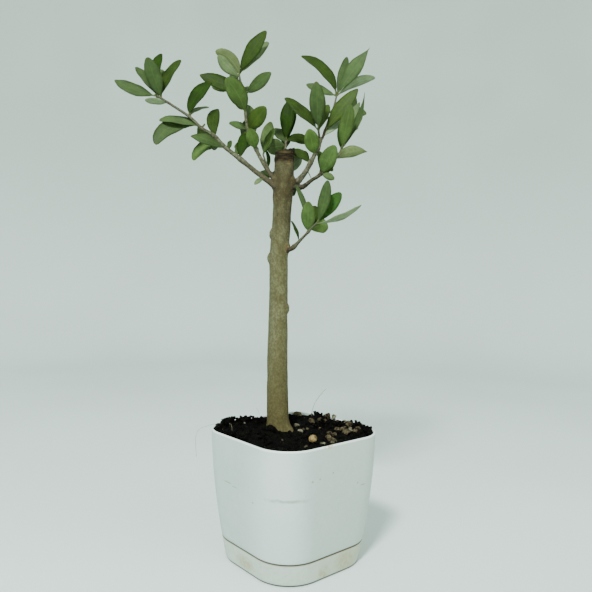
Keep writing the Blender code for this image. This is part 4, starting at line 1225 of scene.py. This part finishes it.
def knob_relief(point):
    """How far the bark knobs lift this point of the trunk."""
    lift = 0.0
    for height, direction, size in KNOBS:
        knob_middle, knob_radius = trunk_section(height * MM)
        angle = math.radians(direction)
        out = Vector((math.cos(angle), math.sin(angle), 0.0))
        centre = knob_middle + out * knob_radius
        away = point - centre
        away.z *= KNOB_TALLNESS
        share = away.length / (size * MM)
        bump = max(0.0, 1 - (share / KNOB_REACH) ** 2)
        crease = 1 - KNOB_CREASE * max(0.0, 1 - (share / KNOB_CREASE_REACH) ** 2)
        lift = max(lift, KNOB_RISE * size * MM * bump * crease)
    return lift


def trunk_ring(z):
    middle, radius = trunk_section(z)
    flare = max(0.0, 1.0 - (z / MM - FLARE_FOOT) / FLARE_HEIGHT) ** 2
    ring = []
    for side in range(TRUNK_SIDES):
        angle = 2 * math.pi * side / TRUNK_SIDES
        toe = 0.0
        for direction, reach in ROOT_FLARES:
            towards = math.cos(angle - math.radians(direction))
            toe += reach * MM * flare * max(0.0, towards) ** FLARE_SHARPNESS
        out = Vector((math.cos(angle), math.sin(angle), 0.0))
        point = middle + (radius + toe) * out
        lift = bark_relief(point, z) + knob_relief(point)
        ring.append(point + lift * out)
    return ring


def dress_trunk(bark, cut):
    """The trunk with its bark and knobs, sawn off aslant, its end grain dark and ragged."""
    foot = SOIL_HEIGHT - 3 * MM
    count = round((TRUNK_SECTIONS[-1][0] * MM - foot) / TRUNK_STEP)
    bm = bmesh.new()
    skin(bm, [trunk_ring(z) for z in steps(foot, TRUNK_SECTIONS[-1][0] * MM, count)])
    slice_ = bmesh.ops.bisect_plane(
        bm, geom=bm.verts[:] + bm.edges[:] + bm.faces[:], plane_co=TRUNK_CUT_MIDDLE,
        plane_no=TRUNK_CUT_NORMAL, clear_outer=True)
    edge = [e for e in slice_["geom_cut"] if isinstance(e, bmesh.types.BMEdge)]
    rim = {v for e in edge for v in e.verts}
    centre = sum((v.co for v in rim), Vector()) / len(rim)
    for ring in range(CUT_RINGS):
        made = bmesh.ops.extrude_edge_only(bm, edges=edge)["geom"]
        edge = [e for e in made if isinstance(e, bmesh.types.BMEdge) and e.is_boundary]
        fresh = [v for v in made if isinstance(v, bmesh.types.BMVert)]
        for face in (f for f in made if isinstance(f, bmesh.types.BMFace)):
            face.material_index = 1
        for vertex in fresh:
            vertex.co += (centre - vertex.co) / (CUT_RINGS + 1 - ring)
            vertex.co.z += CUT_ROUGHNESS * noise_at(vertex.co, CUT_GRAIN)
    for face in bmesh.ops.contextual_create(bm, geom=edge)["faces"]:
        face.material_index = 1
    for vertex in rim:
        splinters = RIM_FINE_SHARE * noise_at(vertex.co, RIM_FINE_GRAIN)
        vertex.co.z += RIM_ROUGHNESS * (noise_at(vertex.co, RIM_GRAIN) + splinters)
    trunk = new_piece("trunk_bark", bm, [bark, cut], smooth_below=60)
    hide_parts("trunk")


def shoot_at(points, place):
    """The point this far along the shoot's middle line, in metres, on a smooth curve."""
    last = len(points) - 1
    place = min(max(place, 0.0), float(last))
    index = min(int(place), last - 1)
    share = place - index
    a, b, c, d = (Vector(points[min(max(index + k, 0), last)]) for k in (-1, 0, 1, 2))
    curve = 2 * b + (c - a) * share + (2 * a - 5 * b + 4 * c - d) * share ** 2
    curve += (3 * b - a - 3 * c + d) * share ** 3
    return curve * 0.5 * MM


def shoot_radius(shoot, place):
    thick, thin = SHOOT_DIAMETERS[shoot]
    share = place / (len(SHOOTS[shoot]) - 1)
    return (thick + (thin - thick) * share) * MM / 2


def plain_limb(shoot, start, end):
    """The search tree of the plain limb that the model has between two places of a shoot."""
    points = SHOOTS[shoot]
    places = steps(start, end, PLAIN_TRIES * max(1, round(end - start)))
    line = [shoot_at(points, place) for place in places]
    kept = [(line[0], places[0])]
    for point, place in zip(line[1:], places[1:]):
        if (point - kept[-1][0]).length >= LIMB_STEP:
            kept.append((point, place))
    if (line[-1] - kept[-1][0]).length < LIMB_STEP / 2 and len(kept) > 1:
        kept.pop()
    kept.append((line[-1], places[-1]))
    curve = bpy.data.curves.new("plain_limb", "CURVE")
    curve.dimensions = "3D"
    curve.bevel_depth = 1.0
    curve.bevel_resolution = 2
    curve.use_fill_caps = True
    spline = curve.splines.new("POLY")
    spline.points.add(len(kept) - 1)
    for knot, (point, place) in zip(spline.points, kept):
        knot.co = (*point, 1.0)
        knot.radius = shoot_radius(shoot, place)
    drawn = link(bpy.data.objects.new("plain_limb", curve))
    bpy.context.view_layer.update()
    graph = bpy.context.evaluated_depsgraph_get()
    mesh = bpy.data.meshes.new_from_object(drawn.evaluated_get(graph))
    bm = bmesh.new()
    bm.from_mesh(mesh)
    bmesh.ops.remove_doubles(bm, verts=bm.verts, dist=MERGED_BELOW)
    bpy.data.objects.remove(drawn, do_unlink=True)
    bpy.data.meshes.remove(mesh)
    bpy.data.curves.remove(curve)
    return tree_of(bm)


def direction_of(bearing, lean):
    bearing, lean = math.radians(bearing), math.radians(lean)
    flat = Vector((math.cos(bearing), 0.0, math.sin(bearing)))
    return flat * math.cos(lean) + Vector((0.0, -math.sin(lean), 0.0))


def leaf_axes(bearing, lean, turn):
    """Along the leaf, across it and out of its upper face."""
    along = direction_of(bearing, lean)
    facing = direction_of(bearing, lean + 90)
    sideways = along.cross(facing)
    if sideways.z < 0:
        sideways.negate()
    out = facing * math.cos(math.radians(turn)) + sideways * math.sin(math.radians(turn))
    return along, out.cross(along), out


def blade_half_width(share, width, tip_taper):
    """Half the leaf's width at a share of its length: a narrow stalk, then the blade."""
    stalk = LEAF_STALK_WIDTH / 2
    if share < LEAF_STALK_SHARE:
        return stalk
    blade = ((share - LEAF_STALK_SHARE) / (1 - LEAF_STALK_SHARE)) ** LEAF_WIDEST
    taper = LEAF_BASE_TAPER if blade < 0.5 else tip_taper
    swell = math.sin(math.pi * blade) ** taper if blade < 1 else 0.0
    return max(stalk * (1 - blade), width / 2 * swell)


def blade_point(share, side, length, width, curl, sweep, tip_taper, pieces):
    """A point of the blade in its own axes: along, across and out of the upper face."""
    bend = math.radians(curl)
    drift = math.radians(sweep)
    along = across = out = 0.0
    for i in range(round(share * pieces)):
        t = (i + 0.5) / pieces
        rise = bend * (0.5 - t)
        swing = drift * (t - 0.5)
        along += math.cos(rise) * math.cos(swing) / pieces
        across += math.cos(rise) * math.sin(swing) / pieces
        out += math.sin(rise) / pieces
    half = blade_half_width(share, width, tip_taper)
    swing = drift * (share - 0.5)
    rise = bend * (0.5 - share)
    fold = LEAF_FOLD * half * abs(side)
    return Vector((
        along * length - side * half * math.sin(swing) - fold * math.sin(rise),
        across * length + side * half * math.cos(swing),
        out * length + fold * math.cos(rise),
    ))


def lay_blade(verts, root, leaf, cuts, rows, pieces, wave=None):
    """Moves a flat grid's points onto one leaf. A wave gives its margin a phase and a count."""
    bearing, lean, length, width, turn = leaf[1:6]
    curl = leaf[6] if len(leaf) > 6 else LEAF_CURL
    sweep = leaf[7] if len(leaf) > 7 else 0.0
    tip_taper = leaf[8] if len(leaf) > 8 else LEAF_TIP_TAPER
    along, across, out = leaf_axes(bearing, lean, turn)
    swing = sweep if out.y < 0 else -sweep
    last = len(cuts) - 1
    for vertex in verts:
        share = cuts[round((vertex.co.x + 0.5) * last)]
        side = round(vertex.co.y * rows) * 2 / rows
        a, b, c = blade_point(share, side, length * MM, width * MM, curl, swing, tip_taper, pieces)
        if wave:
            phase, count = wave
            shift = MARGIN_SHIFT if side > 0 else 0.0
            ripple = math.sin(2 * math.pi * (share * count + phase + shift))
            c += MARGIN_WAVE * width * MM * ripple * side ** 2 * math.sin(math.pi * share)
        vertex.co = root + along * (a - LEAF_SUNK) + across * b + out * c
    return out


def plain_blade(root, leaf, cuts, thickness):
    """A bmesh of the leaf as the model has it."""
    bm = bmesh.new()
    bmesh.ops.create_grid(bm, x_segments=len(cuts) - 1, y_segments=2, size=0.5)
    lay_blade(bm.verts, root, leaf, cuts, 2, LEAF_PIECES)
    bmesh.ops.remove_doubles(bm, verts=bm.verts, dist=MERGED_BELOW)
    bmesh.ops.recalc_face_normals(bm, faces=bm.faces)
    bmesh.ops.solidify(bm, geom=bm.faces[:], thickness=thickness)
    return bm


def upright_to(aim):
    """The turn that takes the upright to this direction."""
    return Vector((0, 0, 1)).rotation_difference(aim).to_matrix()


def plain_twig(start, end, diameters):
    """A bmesh of the room that a spur takes up, as the model has it."""
    line = end - start
    thick, thin = (across * MM / 2 for across in diameters)
    bm = bmesh.new()
    bmesh.ops.create_cone(bm, cap_ends=True, segments=4, radius1=thick, radius2=thin, depth=line.length)
    bmesh.ops.rotate(bm, matrix=upright_to(line), verts=bm.verts)
    bmesh.ops.translate(bm, vec=(start + end) / 2, verts=bm.verts)
    return bm


def tree_of(bm):
    """A search tree of the bmesh's faces, for touch and ray tests."""
    tree = BVHTree.FromBMesh(bm)
    bm.free()
    return tree


def leaf_root(shoot, leaf):
    return shoot_at(SHOOTS[shoot], leaf[0])


def listed_trees():
    """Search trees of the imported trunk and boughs, of every stem and of every listed leaf."""
    graph = bpy.context.evaluated_depsgraph_get()
    names = ["trunk"] + ["bough_" + shoot for shoot in BOUGHS]
    trees = [BVHTree.FromObject(frame["nodes"][name], graph) for name in names]
    for shoot, start, end, leaves in MASSES.values():
        trees.append(plain_limb(shoot, start, end))
        for row in leaves:
            leaf = row[1:]
            blade = plain_blade(leaf_root(shoot, leaf), leaf, LEAF_CUTS, LEAF_THICKNESS)
            trees.append(tree_of(blade))
    return trees


def stem_samples(name):
    shoot, start, end, _ = MASSES[name]
    return [shoot_at(SHOOTS[shoot], place) for place in steps(start, end, 8)]


def in_own_space(name, points, stems):
    """Whether each point is nearer to this mass's stem than to any other mass's."""
    for point in points:
        near = {k: min((point - knot).length for knot in line) for k, line in stems.items()}
        if min(near, key=near.get) != name:
            return False
    return True


def screened(points, trees):
    """Whether something listed stands between nearly all of these points and the front."""
    hidden = 0
    for point in points:
        towards = (FRONT_EYE - point).normalized()
        hidden += any(tree.ray_cast(point, towards)[0] for tree in trees)
    return hidden >= SCREENED_SHARE * len(points)


def fits(name, bm, trees, screens, stems):
    """The shape's search tree if it is clear of every part so far, in its mass's space and out
    of sight from the front, and None if not."""
    points = [v.co.copy() for v in bm.verts]
    tree = tree_of(bm)
    if any(tree.overlap(other) for other in trees):
        return None
    if not in_own_space(name, points, stems) or not screened(points, screens):
        return None
    return tree


def draw_spurs(name, chance, trees, screens, stems):
    """The spurs of one mass: each is its start, its end and its leaves."""
    shoot, first, last, _ = MASSES[name]
    spurs = []
    for _ in range(SPURS_TRIED):
        place = chance.uniform(first + SPUR_FROM * (last - first), last)
        start = shoot_at(SHOOTS[shoot], place)
        bearing = chance.uniform(0, 360)
        aim = direction_of(bearing, chance.uniform(*SPUR_LEANS))
        end = start + aim * chance.uniform(*SPUR_LENGTH) * MM
        space = plain_twig(start.lerp(end, FREE_FROM), end, SPARE_DIAMETERS)
        free = fits(name, space, trees, screens, stems)
        if free is None:
            continue
        leaves = []
        grown = [free]
        for _ in range(SPUR_LEAVES_TRIED):
            length = chance.uniform(*BACK_LEAF_LENGTH)
            leaf = (place, chance.uniform(0, 360), chance.uniform(*BACK_LEAF_LEANS), length,
                    length * BACK_LEAF_SHAPE, chance.uniform(*BACK_LEAF_TURNS))
            space = plain_blade(end - aim * SPUR_SINK * len(leaves), leaf, FREE_CUTS, SPARE_THICKNESS)
            tree = fits(name, space, trees + grown[1:], screens, stems)
            if tree is not None:
                leaves.append(leaf)
                grown.append(tree)
            if len(leaves) == SPUR_LEAVES_MOST:
                break
        if leaves:
            spurs.append((start, end, leaves))
            trees += grown
        if len(spurs) == SPURS_MOST:
            break
    return spurs


def limb_radius(shoot, place, knots):
    """The fine shoot's radius, swollen where leaves and side shoots leave it."""
    radius = shoot_radius(shoot, place)
    swell = 1.0
    for where, times, length in SWELLINGS.get(shoot, ()):
        swell += (times - 1) * math.exp(-((place - where) / length) ** 2)
    for knot in knots:
        swell += KNOT_SWELLING * math.exp(-((place - knot) / KNOT_LENGTH) ** 2)
    return radius * swell


def grow_limb(bm, shoot, start, end, shift):
    """A fine, rough shoot drawn along its middle line. Its share along is kept on the mesh."""
    layer = bm.loops.layers.uv.verify()
    points = SHOOTS[shoot]
    rows = [row for mass in MASSES.values() if mass[0] == shoot for row in mass[3]]
    knots = sorted({round(row[1], 1) for row in rows})
    marks = [shoot_at(points, place) for place in steps(start, end, LIMB_MARKS)]
    length = sum((b - a).length for a, b in zip(marks, marks[1:]))
    count = max(6, round(length / LIMB_FINE_STEP))
    places = steps(start, end, count)
    line = [shoot_at(points, place) for place in places]
    across = Vector((0.0, 1.0, 0.0))
    rings = []
    for i, (place, point) in enumerate(zip(places, line)):
        forward = (line[min(i + 1, count)] - line[max(i - 1, 0)]).normalized()
        across = (across - forward * across.dot(forward)).normalized()
        aside = forward.cross(across)
        radius = limb_radius(shoot, place, knots)
        wander = [noise_at(point, LIMB_WANDER_WIDTH, way) for way in (shift, -shift)]
        ring = []
        for _, out in all_round(across, aside, LIMB_SIDES):
            spot = point + out * radius
            rough = noise_at(spot, LIMB_GRAIN, shift) + 0.5 * noise_at(spot, LIMB_FINE_GRAIN)
            drift = Vector((*wander, 0.0)) * LIMB_WANDER
            ring.append(point + drift + out * radius * (1 + LIMB_ROUGHNESS * rough))
        rings.append(ring)
    for place, ring in zip(places, skin(bm, rings)):
        for vertex in ring:
            for loop in vertex.link_loops:
                loop[layer].uv = (place / (len(points) - 1), 0.5)


def dress_shoots(materials):
    """Every shoot from the trunk to its tip, with its bark."""
    for piece_name, shoots, _ in SHOOT_LOOKS:
        bm = bmesh.new()
        bm.loops.layers.uv.new("along")
        for shoot in shoots:
            shift = Vector((5.3 * list(SHOOTS).index(shoot), 1, 2))
            grow_limb(bm, shoot, 0.0, len(SHOOTS[shoot]) - 1, shift)
        piece = new_piece(piece_name, bm, [materials[piece_name]])
        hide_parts(*["bough_" + shoot for shoot in shoots if shoot in BOUGHS])


def fine_leaf(bm, root, leaf, chance):
    """One leaf with a creased, slightly wavy blade; its underside has its own finish."""
    layer = bm.loops.layers.uv["blade"]
    last = len(FINE_CUTS) - 1
    verts = bmesh.ops.create_grid(bm, x_segments=last, y_segments=FINE_ROWS, size=0.5)["verts"]
    for vertex in verts:
        share = FINE_CUTS[round((vertex.co.x + 0.5) * last)]
        for loop in vertex.link_loops:
            loop[layer].uv = (share, vertex.co.y + 0.5)
    wave = (chance.uniform(0, 1), chance.uniform(*MARGIN_WAVES))
    trimmed = (*leaf[:3], leaf[3] - FINE_TRIM, *leaf[4:])
    out = lay_blade(verts, root, trimmed, FINE_CUTS, FINE_ROWS, FINE_PIECES, wave)
    faces = list({face for vertex in verts for face in vertex.link_faces})
    bmesh.ops.recalc_face_normals(bm, faces=faces)
    for face in faces:
        face.normal_update()
    if sum(face.normal.dot(out) for face in faces) < 0:
        bmesh.ops.reverse_faces(bm, faces=faces)
    made = bmesh.ops.solidify(bm, geom=faces, thickness=FINE_THICKNESS)["geom"]
    for face in {f for f in made if isinstance(f, bmesh.types.BMFace)} | set(faces):
        face.normal_update()
        face.material_index = 1 if face.normal.dot(out) < 0 else 0


def add_bud(bm, middle, aim, size):
    """A small pointed bud."""
    made = bmesh.ops.create_icosphere(bm, subdivisions=2, radius=size)["verts"]
    for vertex in made:
        taper = 1 - BUD_TAPER * max(0.0, vertex.co.z / size)
        vertex.co = Vector((vertex.co.x * taper, vertex.co.y * taper, vertex.co.z * BUD_STRETCH))
    bmesh.ops.rotate(bm, matrix=upright_to(aim), verts=made)
    bmesh.ops.translate(bm, vec=middle, verts=made)


def fine_twig(bm, start, end, shift, diameters=SPUR_DIAMETERS):
    """A spur: a slender, slightly crooked twig with one knot."""
    line = end - start
    knot, knot_length, knot_swelling = TWIG_KNOT
    forward = line.normalized()
    across = forward.orthogonal().normalized()
    aside = forward.cross(across)
    rings = []
    for i in range(TWIG_STEPS + 1):
        share = i / TWIG_STEPS
        radius = (diameters[0] + (diameters[1] - diameters[0]) * share) * MM / 2
        radius *= 1 + knot_swelling * math.exp(-((share - knot) / knot_length) ** 2)
        crook = across * math.sin(math.pi * share) * noise.noise(shift) * TWIG_CROOK
        ring = []
        for angle, out in all_round(across, aside, TWIG_SIDES):
            rough = 1 + TWIG_ROUGHNESS * noise.noise(shift + Vector((i, angle, 0)))
            ring.append(start + line * share + crook + out * radius * rough)
        rings.append(ring)
    skin(bm, rings)


def dress_foliage(materials):
    """The masses: their listed leaves and spurs, with the leaves sorted by tone."""
    stems = {name: stem_samples(name) for name in MASSES}
    screens = listed_trees()
    trees = list(screens)
    chance = random.Random(SPUR_SEED)
    spurs = {name: draw_spurs(name, chance, trees, screens, stems) for name in MASSES}
    looks = random.Random(SPUR_SEED + 1)
    leaves = {tone_name: bmesh.new() for tone_name in LEAF_TONES}
    for bm in leaves.values():
        bm.loops.layers.uv.new("blade")
    held = {tone_name: set() for tone_name in LEAF_TONES}
    twigs = bmesh.new()
    buds = bmesh.new()
    for name, (shoot, _, _, rows) in MASSES.items():
        for row in rows:
            leaf = row[1:]
            root = leaf_root(shoot, leaf)
            fine_leaf(leaves[row[0]], root, leaf, looks)
            held[row[0]].add(name)
            aim = direction_of(leaf[1], leaf[2])
            middle = root + aim * (shoot_radius(shoot, leaf[0]) + BUD_OUT) + BUD_UP
            add_bud(buds, middle, aim, BUD_SIZE * looks.uniform(*BUD_SIZES))
        for start, end, back_leaves in spurs[name]:
            fine_twig(twigs, start, end, Vector((looks.uniform(0, 40), 0, 0)))
            aim = (end - start).normalized()
            add_bud(buds, end + aim * SPUR_BUD_OUT, aim, BUD_SIZE)
            tone_name = looks.choice(BACK_LEAF_TONES)
            for count, leaf in enumerate(back_leaves):
                fine_leaf(leaves[tone_name], end - aim * SPUR_SINK * count, leaf, looks)
                held[tone_name].add(name)
    for shoot, row in YOUNG_LEAVES:
        fine_leaf(leaves[row[0]], leaf_root(shoot, row[1:]), row[1:], looks)
    for foot, tip, diameters in BROKEN_TWIGS:
        shift = Vector((looks.uniform(0, 40), 0, 0))
        fine_twig(twigs, Vector(foot) * MM, Vector(tip) * MM, shift, diameters)
    for tone_name, bm in leaves.items():
        faces = [materials["leaf_" + tone_name], materials["under_" + tone_name]]
        piece = new_piece("leaves_" + tone_name, bm, faces)
        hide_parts(*sorted(held[tone_name]))
    twig_piece = new_piece("spur_twigs", twigs, [materials["twig"]])
    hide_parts(*MASSES)
    bud_piece = new_piece("leaf_buds", buds, [materials["twig"]])


def add_hair(bm, points, radius):
    """A fine root hair through these points."""
    rings = []
    for i, point in enumerate(points):
        forward = (points[min(i + 1, len(points) - 1)] - points[max(i - 1, 0)]).normalized()
        across = forward.orthogonal().normalized()
        directions = all_round(across, forward.cross(across), HAIR_SIDES)
        rings.append([point + out * radius for _, out in directions])
    skin(bm, rings)


def dress_hairs(material):
    """Fine dry roots that stand out of the soil."""
    bm = bmesh.new()
    for places, count, radius in ROOT_HAIRS:
        line = [shoot_at(places, place) for place in steps(0.0, len(places) - 1, count)]
        add_hair(bm, line, radius * MM)
    hairs = new_piece("root_hairs", bm, [material])


def set_camera():
    """The photograph's view: nearly level, a little turned and rolled."""
    ahead = Vector((math.sin(CAMERA_PAN), math.cos(CAMERA_PAN), 0.0))
    forward = ahead * math.cos(CAMERA_PITCH) - Vector((0.0, 0.0, math.sin(CAMERA_PITCH)))
    level = Vector((math.cos(CAMERA_PAN), -math.sin(CAMERA_PAN), 0.0))
    upright = level.cross(forward)
    right = level * math.cos(CAMERA_ROLL) + upright * math.sin(CAMERA_ROLL)
    above = upright * math.cos(CAMERA_ROLL) - level * math.sin(CAMERA_ROLL)
    data = bpy.data.cameras.new("photo_view")
    data.sensor_width = CAMERA_SENSOR
    data.lens = CAMERA_LENS
    data.clip_start = 0.01
    data.clip_end = 20.0
    camera = link(bpy.data.objects.new("photo_view", data))
    turn = Matrix((right, above, -forward)).transposed().to_4x4()
    camera.matrix_world = Matrix.Translation(FRONT_EYE) @ turn
    bpy.context.scene.camera = camera


def add_light(name, place, size, power):
    data = bpy.data.lights.new(name, "AREA")
    data.shape = "DISK"
    data.size = size
    data.energy = power
    data.color = LIGHT_COLOUR
    light = link(bpy.data.objects.new(name, data))
    light.location = Vector(place)
    light.rotation_mode = "QUATERNION"
    light.rotation_quaternion = (LIGHT_AIM - Vector(place)).to_track_quat("-Z", "Y")


def set_stage():
    """A pale floor that curves up into the wall all round, and soft daylight."""
    flat = FLOOR_RINGS[-1]
    profile = [(out, 0.0) for out in FLOOR_RINGS]
    for bend in steps(0.0, math.pi / 2, BACKDROP_STEPS)[1:]:
        out = flat + (BACKDROP_REACH - flat) * math.sin(bend)
        profile.append((out, BACKDROP_CURVE * (1 - math.cos(bend))))
    profile.append((BACKDROP_REACH, BACKDROP_HEIGHT))
    rings = []
    for out, height in profile:
        middle = Vector((0.0, 0.0, height))
        directions = all_round(Vector((out, 0.0, 0.0)), Vector((0.0, out, 0.0)), BACKDROP_SIDES)
        rings.append([middle + towards for _, towards in directions])
    bm = bmesh.new()
    skin(bm, rings, close_last=False)
    floor = drawn_object("floor_and_wall", bm, [backdrop_paint()])
    world = bpy.data.worlds.new("daylight")
    world.use_nodes = True
    sky = world.node_tree.nodes["Background"]
    sky.inputs["Color"].default_value = DAYLIGHT
    sky.inputs["Strength"].default_value = DAYLIGHT_STRENGTH
    bpy.context.scene.world = world
    for light in LIGHTS:
        add_light(*light)


def main():
    clear_startup()
    set_camera()
    materials = {
        "soil": potting_soil(),
        "stone": crumb_finish("tan_stone", (152, 130, 86), (124, 99, 60), (100, 82, 52)),
        "chip": crumb_finish("bark_chip", (92, 82, 60), (50, 42, 30), (26, 22, 15)),
        "pumice": crumb_finish("pumice_bit", (126, 123, 102), (88, 83, 64), (46, 41, 31)),
        "twig": twig_bark(),
    }
    for piece_name, _, tones in SHOOT_LOOKS:
        materials[piece_name] = young_bark(piece_name, *tones)
    for tone_name, colour in LEAF_TONES.items():
        name = "leaf_" + tone_name
        gloss = LEAF_GLOSS.get(tone_name, COMMON_GLOSS)
        below = underside_of(colour)
        materials[name] = leaf_finish(name, colour, gloss)
        materials["under_" + tone_name] = leaf_finish(name + "_under", below, UNDERSIDE_GLOSS, under=True)
    dress_foliage(materials)
    dress_shoots(materials)
    dress_trunk(old_bark(), cut_wood())
    dress_tray(tray_plastic())
    dress_pot(pot_plastic())
    dress_soil(materials["soil"])
    scatter_soil(materials)
    dress_hairs(root_hair())
    set_stage()
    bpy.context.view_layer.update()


main()
